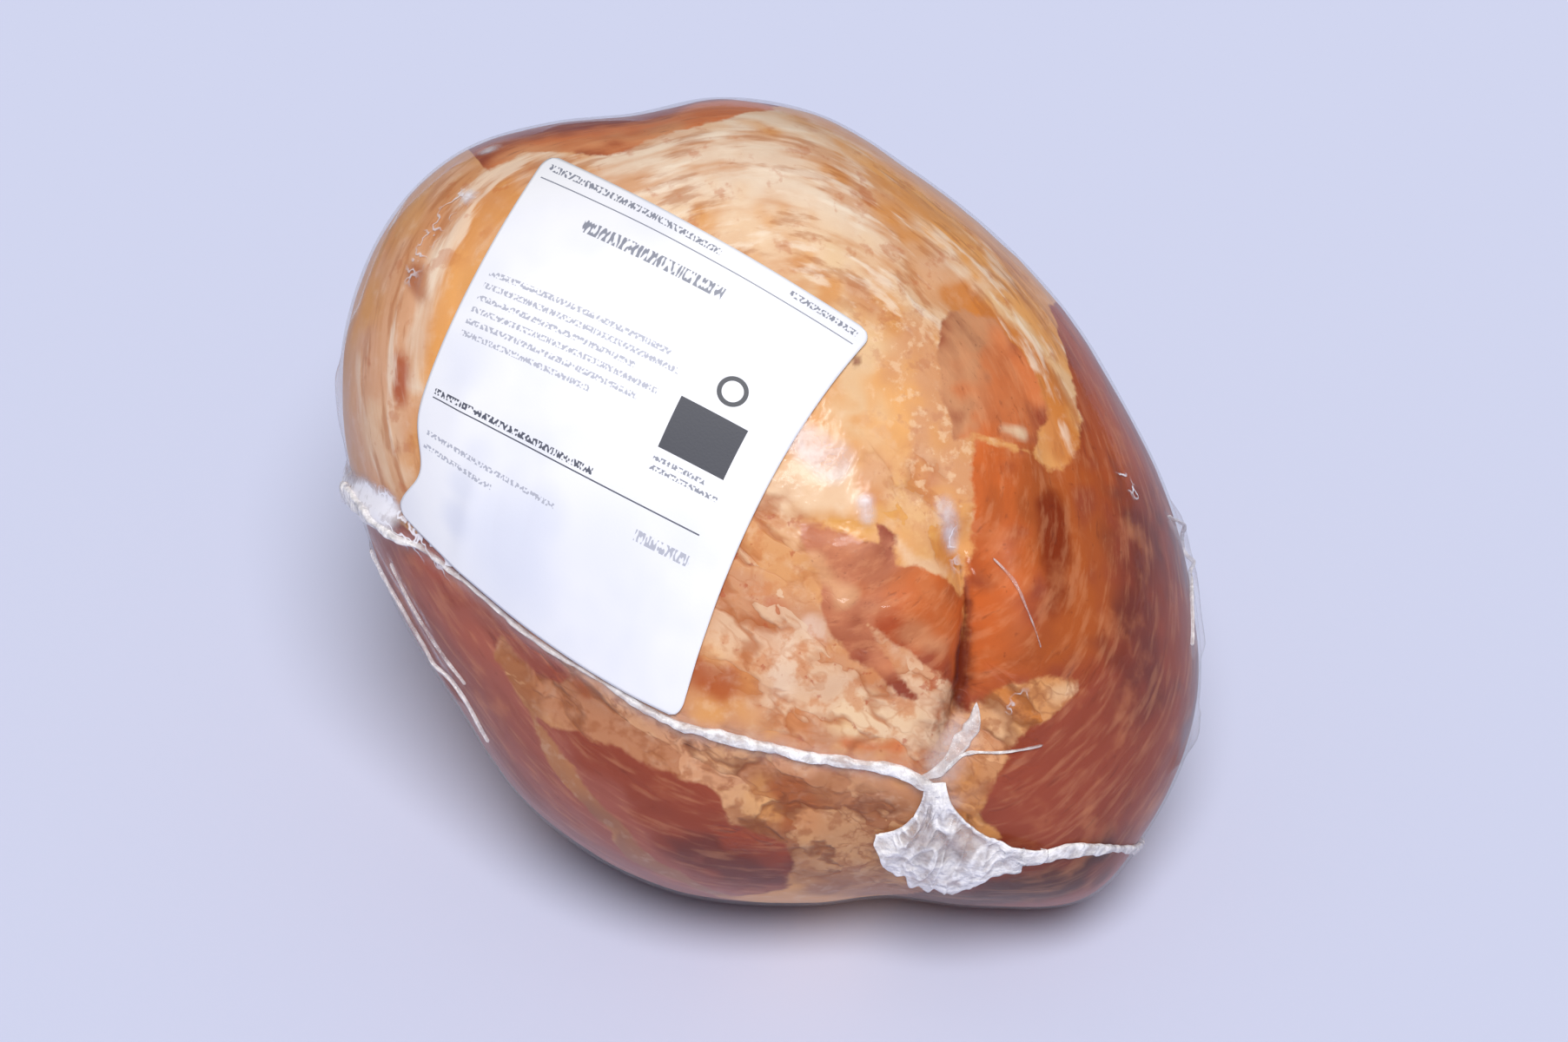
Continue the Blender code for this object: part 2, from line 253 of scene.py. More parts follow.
    def distance(self, directions: np.ndarray, path: np.ndarray) -> np.ndarray:
        """Distance in mm over the surface from each direction to a path of directions."""
        nearest = np.full(len(directions), np.inf)
        if len(path) == 1:
            nearest = np.linalg.norm(directions - path[0], axis=1)
        for start, end in zip(path[:-1], path[1:]):
            along = end - start
            t = np.clip((directions - start) @ along / (along @ along), 0, 1)
            gap = np.linalg.norm(directions - start - t[:, None] * along, axis=1)
            nearest = np.minimum(nearest, gap)
        return nearest * self.plain_radius(directions)

    def depth_inside(self, directions: np.ndarray, loop: Path) -> np.ndarray:
        """Distance in mm to a closed loop, above zero inside it.

        The inside is told by counting the loop's edges that a level line crosses, on a map
        that keeps each direction's turn round the face's middle and its angle away from it.

        Args:
            directions: Unit directions to test.
            loop: Places of the loop, in order.

        Returns:
            One signed distance for each direction.
        """
        corners = self.directions_of(loop)
        flat = []
        for rows in (directions, corners):
            across = np.maximum(np.hypot(rows[:, 0], rows[:, 1]), 1e-9)
            flat.append(rows[:, :2] * (np.arctan2(across, rows[:, 2]) / across)[:, None])
        x, y = flat[0].T
        inside = np.zeros(len(x), bool)
        for (x0, y0), (x1, y1) in zip(flat[1], np.roll(flat[1], -1, axis=0)):
            crosses = (y0 > y) != (y1 > y)
            rise = y1 - y0 if y1 != y0 else 1.0
            inside ^= crosses & (x < x0 + (y - y0) * (x1 - x0) / rise)
        away = self.distance(directions, np.vstack([corners, corners[:1]]))
        return np.where(inside, away, -away)

    def relief(self, directions: np.ndarray) -> np.ndarray:
        """Height in mm of bell-shaped swells, less furrows, with waves for the low lobes."""
        scale = self.plain_radius(directions)
        height = np.zeros(len(directions))
        for centre, reach, rise in self.swells:
            off = np.linalg.norm(directions - unit(np.array(centre)), axis=1) * scale
            height += rise * np.exp(-((off / reach) ** 2))
        for path, half_width, depth in self.furrows:
            away = self.distance(directions, self.directions_of(path))
            height -= depth * np.exp(-((away / half_width) ** 2))
        u = directions[:, 0] * scale - self.lobe_centre[0]
        v = directions[:, 1] * scale - self.lobe_centre[1]
        along = u * math.cos(self.lobe_turn) + v * math.sin(self.lobe_turn)
        aside = v * math.cos(self.lobe_turn) - u * math.sin(self.lobe_turn)
        window = np.exp(-((np.hypot(u, v) / self.lobe_reach) ** 2)) * (directions[:, 2] > 0)
        waves = np.cos(2 * math.pi * along / self.lobe_pitch[0])
        waves = waves * np.cos(2 * math.pi * aside / self.lobe_pitch[1])
        return height + self.lobe_height * window * waves

    def to_row(self, points: np.ndarray) -> np.ndarray:
        """Points of the face frame with +Z up, pressed flat where they meet the table."""
        sine, cosine = math.sin(self.tilt), math.cos(self.tilt)
        placed = np.column_stack([
            points[:, 0],
            points[:, 1] * sine - points[:, 2] * cosine,
            points[:, 1] * cosine + points[:, 2] * sine,
        ]) + np.array(self.centre)
        height, soft = placed[:, 2], self.rest_softness
        pressed = np.where(height > -soft, (height + soft) ** 2 / (4 * soft), 0.0)
        placed[:, 2] = np.where(height >= soft, height, pressed)
        return placed

    def surface(self, directions: np.ndarray, extra: np.ndarray | float = 0.0) -> np.ndarray:
        """Points in mm of the surface along directions, farther out by extra."""
        reach = self.plain_radius(directions) + self.relief(directions) + extra
        return self.to_row(directions * reach[:, None])

    def with_normals(self, directions: np.ndarray) -> tuple[np.ndarray, np.ndarray]:
        """Surface points and outward normals, by small steps to both sides."""
        aside = unit(np.cross(directions, self.normal_guide))
        points = self.surface(directions)
        spans = []
        for way in (aside, unit(np.cross(directions, aside))):
            step = self.normal_step * way
            spans.append(self.surface(unit(directions + step)) - self.surface(unit(directions - step)))
        normals = unit(np.cross(*spans))
        outward = np.sign(np.sum(normals * (points - np.array(self.centre)), axis=1))
        return points, normals * outward[:, None]


def cube_sphere(cells: int) -> tuple[np.ndarray, np.ndarray]:
    """Even grid of directions: a cube's faces cut into cells, bent by the tangent of an angle.

    Args:
        cells: Cells along each edge of the cube.

    Returns:
        Unit directions, and faces of four vertices that point outwards.
    """
    steps = np.arange(cells + 1)
    first, second = (axis.ravel() for axis in np.meshgrid(steps, steps, indexing="ij"))
    corner = np.arange(cells * (cells + 1)).reshape(cells, cells + 1)[:, :-1].ravel()
    quads = np.column_stack([corner, corner + cells + 1, corner + cells + 2, corner + 1])
    lattice, faces = [], []
    for axis, end in itertools.product(range(3), (0, cells)):
        points = np.empty((len(first), 3), int)
        points[:, axis] = end
        points[:, (axis + 1) % 3] = first
        points[:, (axis + 2) % 3] = second
        faces.append((quads if end else quads[:, ::-1]) + len(first) * len(lattice))
        lattice.append(points)
    corners, index = np.unique(np.vstack(lattice), axis=0, return_inverse=True)
    directions = unit(np.tan((2 * corners / cells - 1) * math.pi / 4))
    return directions, index.reshape(-1)[np.vstack(faces)]


def grid_faces(rows: int, columns: int, around: bool = False) -> np.ndarray:
    """Faces of four vertices over a grid that is stored row by row.

    Args:
        rows: Rows of vertices.
        columns: Vertices in a row.
        around: Whether the last column joins the first.

    Returns:
        One row of four vertices for each face.
    """
    corner = np.arange(rows * columns).reshape(rows, columns)
    beside = np.roll(corner, -1, axis=1)
    if not around:
        corner, beside = corner[:, :-1], beside[:, :-1]
    return np.column_stack([part.ravel() for part in (corner[:-1], corner[1:], beside[1:], beside[:-1])])


def shell_faces(rows: int, columns: int) -> np.ndarray:
    """Faces that close two like grids, stored one after the other, into a thin shell."""
    top = grid_faces(rows, columns)
    index = np.arange(rows * columns).reshape(rows, columns)
    rim = np.concatenate([index[0, :-1], index[:-1, -1], index[-1, :0:-1], index[:0:-1, 0]])
    after = np.roll(rim, -1)
    below = rows * columns
    walls = np.column_stack([rim, after, after + below, rim + below])
    return np.vstack([top, top[:, ::-1] + below, walls])


def make_piece(name: str, points: np.ndarray, faces: np.ndarray | list,
               finish: bpy.types.Material) -> bpy.types.Object:
    """Puts arrays into a smooth-shaded mesh object of the scene.

    Args:
        name: Name of the piece.
        points: Vertices in mm.
        faces: Rows of vertices, in an array or a list.
        finish: Material of the whole piece.

    Returns:
        The new object, at the origin.
    """
    mesh = bpy.data.meshes.new(name)
    mesh.from_pydata((points * MM).tolist(), [], [list(face) for face in faces])
    mesh.validate()
    mesh.shade_smooth()
    mesh.materials.append(finish)
    piece = bpy.data.objects.new(name, mesh)
    bpy.context.scene.collection.objects.link(piece)
    return piece


def store(piece: bpy.types.Object, name: str, values: np.ndarray) -> None:
    """Keeps an array on a piece's vertices, as a number, vector or colour by its width.

    Args:
        piece: The piece whose mesh gets the attribute.
        name: Name that its material reads.
        values: One number, or a row of three or four, for each vertex.
    """
    kind, key = {1: ("FLOAT", "value"), 3: ("FLOAT_VECTOR", "vector"), 4: ("FLOAT_COLOR", "color")}[
        1 if values.ndim == 1 else values.shape[1]
    ]
    attribute = piece.data.attributes.new(name, kind, "POINT")
    attribute.data.foreach_set(key, np.ascontiguousarray(values, np.float32).ravel())


def ride(piece: bpy.types.Object, slot: str, *nodes: str) -> None:
    """Lets a piece move with the ham's body and stand for CAD nodes."""
    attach(piece, "root")
    if nodes:
        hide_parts(*nodes)
    LOG.info("%s: %d faces", piece.name, len(piece.data.polygons))


class Recipe:
    """A material under construction, with its nodes."""

    def __init__(self, name: str) -> None:
        """Starts an empty material with only its output."""
        self.material = bpy.data.materials.new(name)
        self.material.use_nodes = True
        self.tree = self.material.node_tree
        self.tree.nodes.clear()
        self.output = self.tree.nodes.new("ShaderNodeOutputMaterial")

    def add(self, kind: str, inputs: dict | None = None, **settings: object) -> bpy.types.Node:
        """Adds a node, sets it up and links it.

        Args:
            kind: Blender's name for the node.
            inputs: A value or another node's socket, by the input's name or place.
            settings: Options of the node itself.

        Returns:
            The node.
        """
        node = self.tree.nodes.new(kind)
        for key, value in settings.items():
            setattr(node, key, value)
        for key, value in (inputs or {}).items():
            if isinstance(value, bpy.types.NodeSocket):
                self.tree.links.new(value, node.inputs[key])
            else:
                node.inputs[key].default_value = value
        return node

    def attribute(self, name: str, output: str = "Fac") -> Socket:
        """Reads an attribute that the piece carries, as a number or by another output."""
        return self.add("ShaderNodeAttribute", attribute_name=name).outputs[output]

    def math(self, operation: str, *values: float | Socket, clamp: bool = False) -> Socket:
        """Adds a step of arithmetic on numbers or sockets, and returns its result."""
        node = self.add("ShaderNodeMath", dict(enumerate(values)), operation=operation, use_clamp=clamp)
        return node.outputs[0]

    def vector(self, operation: str, *values: tuple | Socket, output: int | str = 0) -> Socket:
        """Adds a step of arithmetic on vectors, and returns one of its outputs."""
        return self.add("ShaderNodeVectorMath", dict(enumerate(values)), operation=operation).outputs[output]

    def noise(self, vector: Socket, size: float, detail: float = 2.0, roughness: float = 0.5,
              output: str = "Fac", **settings: object) -> Socket:
        """Adds fractal noise with features of a size, in the units of its vector."""
        inputs = {"Vector": vector, "Scale": 1 / size, "Detail": detail, "Roughness": roughness}
        return self.add("ShaderNodeTexNoise", inputs, **settings).outputs[output]

    def mapped(self, value: Socket, low: float, high: float, to_low: float = 0.0,
               to_high: float = 1.0, eased: bool = True) -> Socket:
        """Maps the span from low to high onto another, eased at both ends unless told not to."""
        inputs = {"Value": value, "From Min": low, "From Max": high, "To Min": to_low, "To Max": to_high}
        kind = "SMOOTHSTEP" if eased else "LINEAR"
        return self.add("ShaderNodeMapRange", inputs, interpolation_type=kind).outputs[0]

    def mixed(self, share: Socket, below: tuple | Socket, above: tuple | Socket) -> Socket:
        """Mixes the colour above over the one below, by a share."""
        inputs = {MIX_FACTOR: share, MIX_A: below, MIX_B: above}
        return self.add("ShaderNodeMix", inputs, data_type="RGBA").outputs[MIX_RESULT]

    def bump(self, height: Socket, distance: float, strength: float) -> Socket:
        """Turns a height, in units of a distance in metres, into normals."""
        inputs = {"Height": height, "Distance": distance, "Strength": strength}
        return self.add("ShaderNodeBump", inputs).outputs[0]

    def finish(self, shader: Socket) -> bpy.types.Material:
        """Links the last shader to the output and returns the material."""
        self.tree.links.new(shader, self.output.inputs["Surface"])
        return self.material


class Tint(Enum):
    """Colours of the smoked fat, the lean and their stains, as sRGB, some of which also paint shade and
    sheen.
    """

    CREAM = "#EFD8C0"
    PALE = "#EFCDA9"
    BLUSH = "#E3BFA9"
    HONEY = "#EBC79B"
    AMBER = "#EEAA62"
    CARAMEL = "#E2A262"
    GOLD = "#E0A258"
    PEACH = "#DA9E72"
    TOFFEE = "#CF7F3C"
    SAND = "#DCA87E"
    BISQUE = "#E2AC86"
    TAN = "#CE936E"
    CRUMB = "#B0744C"
    CRUST = "#9D664B"
    TERRACOTTA = "#C47856"
    BRICK = "#D67A48"
    ORANGE = "#CA6C36"
    COPPER = "#D06830"
    RUST = "#AE4F23"
    CLAY = "#B05829"
    EMBER = "#AA421E"
    CHESTNUT = "#78240A"
    UMBER = "#6E2A16"
    WINE = "#96452F"
    CLARET = "#6C3329"
    MAUVE_SHEEN = "#81686D"
    PLUM = "#74362C"
    DUSK = "#4C2A23"
    ROSE = "#A65B4A"

    @property
    def light(self) -> np.ndarray:
        """The colour as linear red, green, blue and alpha."""
        return np.array(linear(self.value))


@dataclass(frozen=True)
class Dab:
    """A brushed stretch of one tint: its path, and its half width and soft edge in mm."""

    tint: Tint
    path: Path
    half_width: float
    soft: float = 2.0
    strength: float = 1.0


@dataclass(frozen=True)
class Patch:
    """A place where a field is felt: its path, half width and soft edge in mm, and strength."""

    path: Path
    half_width: float
    soft: float
    strength: float = 1.0


def felt(form: HamForm, directions: np.ndarray, patch: Dab | Patch,
         waver: np.ndarray | float) -> np.ndarray:
    """Share of a dab or patch at each direction: its strength inside, eased off over its edge.

    Args:
        form: The ham's form.
        directions: Unit directions.
        patch: What is laid down.
        waver: Millimetres by which the edge wanders at each direction.

    Returns:
        A share from 0 to 1 for each direction.
    """
    away = form.distance(directions, form.directions_of(patch.path)) + waver * patch.soft
    inner, outer = patch.half_width - patch.soft, patch.half_width + patch.soft
    return patch.strength * (1 - ease(away, inner, outer))


class Pattern(Enum):
    """Ways in which a layer of colour is broken up."""

    BLOTCH = "noise alike in every direction"
    STREAK = "noise drawn out along the muscle"
    LOBE = "lobes drawn out across the face, each with a chance value of its own"
    SEAM = "the gaps between the same lobes"


@dataclass(frozen=True)
class Layer:
    """A layer of stain over the meat, where both its field and its pattern let it through.

    The size is that of the pattern's features in mm. The pattern shows between its low and
    high thresholds, and rise is how far in mm the stained places stand out.
    """

    field: str
    pattern: Pattern
    size: float
    low: float
    high: float
    tint: str
    strength: float
    rise: float = 0.0


@dataclass(frozen=True)
class SmokedPork:
    """Finish of the meat: cured pork and back fat, smoked until its rind is golden.

    Fat is cream to caramel with brown stains round its lobes, and lean is terracotta to
    claret with long fibres. Juice under the film makes all of it look wet. A dark tint paints
    shade in the cut crease.
    """

    roughness: float = 0.42
    refraction: float = 1.40
    specular: float = 0.2
    bump: float = 0.7

    # Ragged edge between fat and lean: its reach, size and soft edge in mm, then its noise
    edge_noise: float = 4.5
    edge_size: float = 5.0
    edge_soft: float = 0.55
    edge_detail: float = 6.0
    edge_roughness: float = 0.62
    # Painted shade in the cut crease: its dark tint, how far the ragged noise moves it, and its steps
    crease_shade_tint: str = "#64200C"
    crease_shade_waver: float = 0.20
    crease_shade_step: tuple[float, float] = (0.26, 1.02)

    # Drift of the lobes of fat, in mm, and how the seams between them come and go
    warp: float = 11.0
    warp_size: float = 7.0
    warp_detail: float = 3.0
    seam_gap_size: float = 1.43
    seam_gap_step: tuple[float, float] = (0.44, 0.60)
    stain_detail: float = 4.0
    stain_roughness: float = 0.58
    layers_on_fat: tuple[Layer, ...] = (
        Layer("everywhere", Pattern.BLOTCH, 14.0, 0.40, 0.66, "#C98450", 0.22),
        Layer("everywhere", Pattern.BLOTCH, 3.0, 0.50, 0.72, "#F8E4CC", 0.17, 0.08),
        Layer("streaked", Pattern.STREAK, 7.0, 0.45, 0.62, "#CF8850", 0.62),
        Layer("streaked", Pattern.STREAK, 2.8, 0.51, 0.65, "#B36A3A", 0.52),
        Layer("streaked", Pattern.STREAK, 4.0, 0.52, 0.66, "#FBEBD6", 0.58, 0.10),
        Layer("streaked", Pattern.BLOTCH, 5.0, 0.58, 0.68, "#C0683A", 0.40),
        Layer("lobed", Pattern.LOBE, 9.0, 0.38, 0.54, "#EBCBAA", 0.58, 0.25),
        Layer("lobed", Pattern.BLOTCH, 4.5, 0.50, 0.64, "#CC7E4A", 0.60),
        Layer("lobed", Pattern.SEAM, 9.0, 0.200, 0.000, "#B06234", 0.72, -0.35),
        Layer("lobed", Pattern.SEAM, 4.4, 0.130, 0.000, "#BE764A", 0.34, -0.10),
        Layer("lobed", Pattern.BLOTCH, 2.4, 0.60, 0.69, "#B2502E", 0.60),
        Layer("crumbly", Pattern.LOBE, 7.0, 0.46, 0.62, "#D9A676", 0.56, 0.30),
        Layer("crumbly", Pattern.LOBE, 7.0, 0.40, 0.30, "#9C5A34", 0.45, -0.20),
        Layer("crumbly", Pattern.BLOTCH, 3.4, 0.48, 0.62, "#A05C36", 0.58),
        Layer("crumbly", Pattern.SEAM, 7.0, 0.220, 0.000, "#7E4224", 0.74, -0.40),
        Layer("crumbly", Pattern.SEAM, 3.4, 0.150, 0.000, "#935534", 0.42, -0.12),
        Layer("speckled", Pattern.BLOTCH, 2.2, 0.52, 0.64, "#F2CDA6", 0.55),
        Layer("speckled", Pattern.BLOTCH, 3.0, 0.54, 0.66, "#C0703F", 0.45),
    )
    layers_on_lean: tuple[Layer, ...] = (
        Layer("everywhere", Pattern.STREAK, 8.0, 0.42, 0.66, "#7A3420", 0.26),
        Layer("everywhere", Pattern.STREAK, 1.8, 0.48, 0.70, "#E8A678", 0.22, 0.06),
        Layer("everywhere", Pattern.BLOTCH, 9.0, 0.52, 0.74, "#DE9262", 0.28),
        Layer("everywhere", Pattern.STREAK, 1.3, 0.60, 0.74, "#5E261C", 0.32, -0.08),
        Layer("everywhere", Pattern.BLOTCH, 1.6, 0.64, 0.72, "#6B2A1A", 0.30),
    )

    def make(self) -> bpy.types.Material:
        """Builds the material over the vertex colours and fields that the meat carries.

        Returns:
            The material.
        """
        recipe = Recipe("smoked_pork_and_fat")
        place = recipe.add("ShaderNodeTexCoord").outputs["Object"]
        strand = recipe.attribute("strand", "Vector")
        drift = recipe.noise(strand, self.warp_size, self.warp_detail, output="Color")
        warped = recipe.vector("MULTIPLY_ADD", drift, (self.warp,) * 3, strand)
        spaces = {
            Pattern.BLOTCH: (place, MM),
            Pattern.STREAK: (recipe.attribute("grain", "Vector"), 1.0),
            Pattern.LOBE: (warped, 1.0),
            Pattern.SEAM: (warped, 1.0),
        }
        heights = []
        fat = self.stained(recipe, "fat_tint", self.layers_on_fat, spaces, heights)
        lean = self.stained(recipe, "lean_tint", self.layers_on_lean, spaces, heights)

        ragged = recipe.noise(place, self.edge_size * MM, self.edge_detail, self.edge_roughness)
        ragged = recipe.math("MULTIPLY_ADD", ragged, self.edge_noise, -self.edge_noise / 2)
        depth = recipe.math("ADD", recipe.attribute("lean_depth"), ragged)
        meat = recipe.mixed(recipe.mapped(depth, -self.edge_soft, self.edge_soft), fat, lean)
        # Painted shade in the cut crease: a dark tint over the meat where the crease field is high
        crease = recipe.math("MULTIPLY_ADD", ragged, self.crease_shade_waver, recipe.attribute("crease"))
        crease_shaded = recipe.mixed(recipe.mapped(crease, *self.crease_shade_step), meat, linear(self.crease_shade_tint))

        total = heights[0]
        for height in heights[1:]:
            total = recipe.math("ADD", total, height)
        shader = recipe.add("ShaderNodeBsdfPrincipled", {
            "Base Color": crease_shaded, "Roughness": self.roughness, "IOR": self.refraction,
            "Specular IOR Level": self.specular, "Normal": recipe.bump(total, MM, self.bump),
        })
        return recipe.finish(shader.outputs[0])

    def pattern(self, recipe: Recipe, layer: Layer, vector: Socket, size: float) -> Socket:
        """Adds the texture that breaks up a layer.

        Args:
            recipe: The material under construction.
            layer: The layer.
            vector: Coordinates of its pattern.
            size: Size of its features, in the units of those coordinates.

        Returns:
            A value that the layer's two thresholds are read against.
        """
        if layer.pattern in (Pattern.BLOTCH, Pattern.STREAK):
            return recipe.noise(vector, size, self.stain_detail, self.stain_roughness)
        inputs = {"Vector": vector, "Scale": 1 / size}
        if layer.pattern is Pattern.LOBE:
            return recipe.add("ShaderNodeTexVoronoi", inputs).outputs["Color"]
        seam = recipe.add("ShaderNodeTexVoronoi", inputs, feature="DISTANCE_TO_EDGE").outputs["Distance"]
        gaps = recipe.noise(vector, size * self.seam_gap_size)
        return recipe.math("ADD", seam, recipe.mapped(gaps, *self.seam_gap_step, to_high=layer.low))

    def stained(self, recipe: Recipe, tint: str, layers: tuple[Layer, ...], spaces: dict,
                heights: list[Socket]) -> Socket:
        """Lays stains over the tint that the vertices carry.

        Args:
            recipe: The material under construction.
            tint: Name of the vertex colour.
            layers: The stains, from the lowest up.
            spaces: Coordinates for each pattern, and a millimetre in their units.
            heights: Gets the height in mm that each stain adds.

        Returns:
            The socket of the stained colour.
        """
        colour = recipe.attribute(tint, "Color")
        for layer in layers:
            vector, millimetre = spaces[layer.pattern]
            texture = self.pattern(recipe, layer, vector, layer.size * millimetre)
            shown = recipe.math("MULTIPLY", recipe.mapped(texture, layer.low, layer.high), layer.strength)
            if layer.field != "everywhere":
                shown = recipe.math("MULTIPLY", shown, recipe.attribute(layer.field))
            colour = recipe.mixed(shown, colour, linear(layer.tint))
            if layer.rise:
                heights.append(recipe.math("MULTIPLY", shown, layer.rise))
        return colour


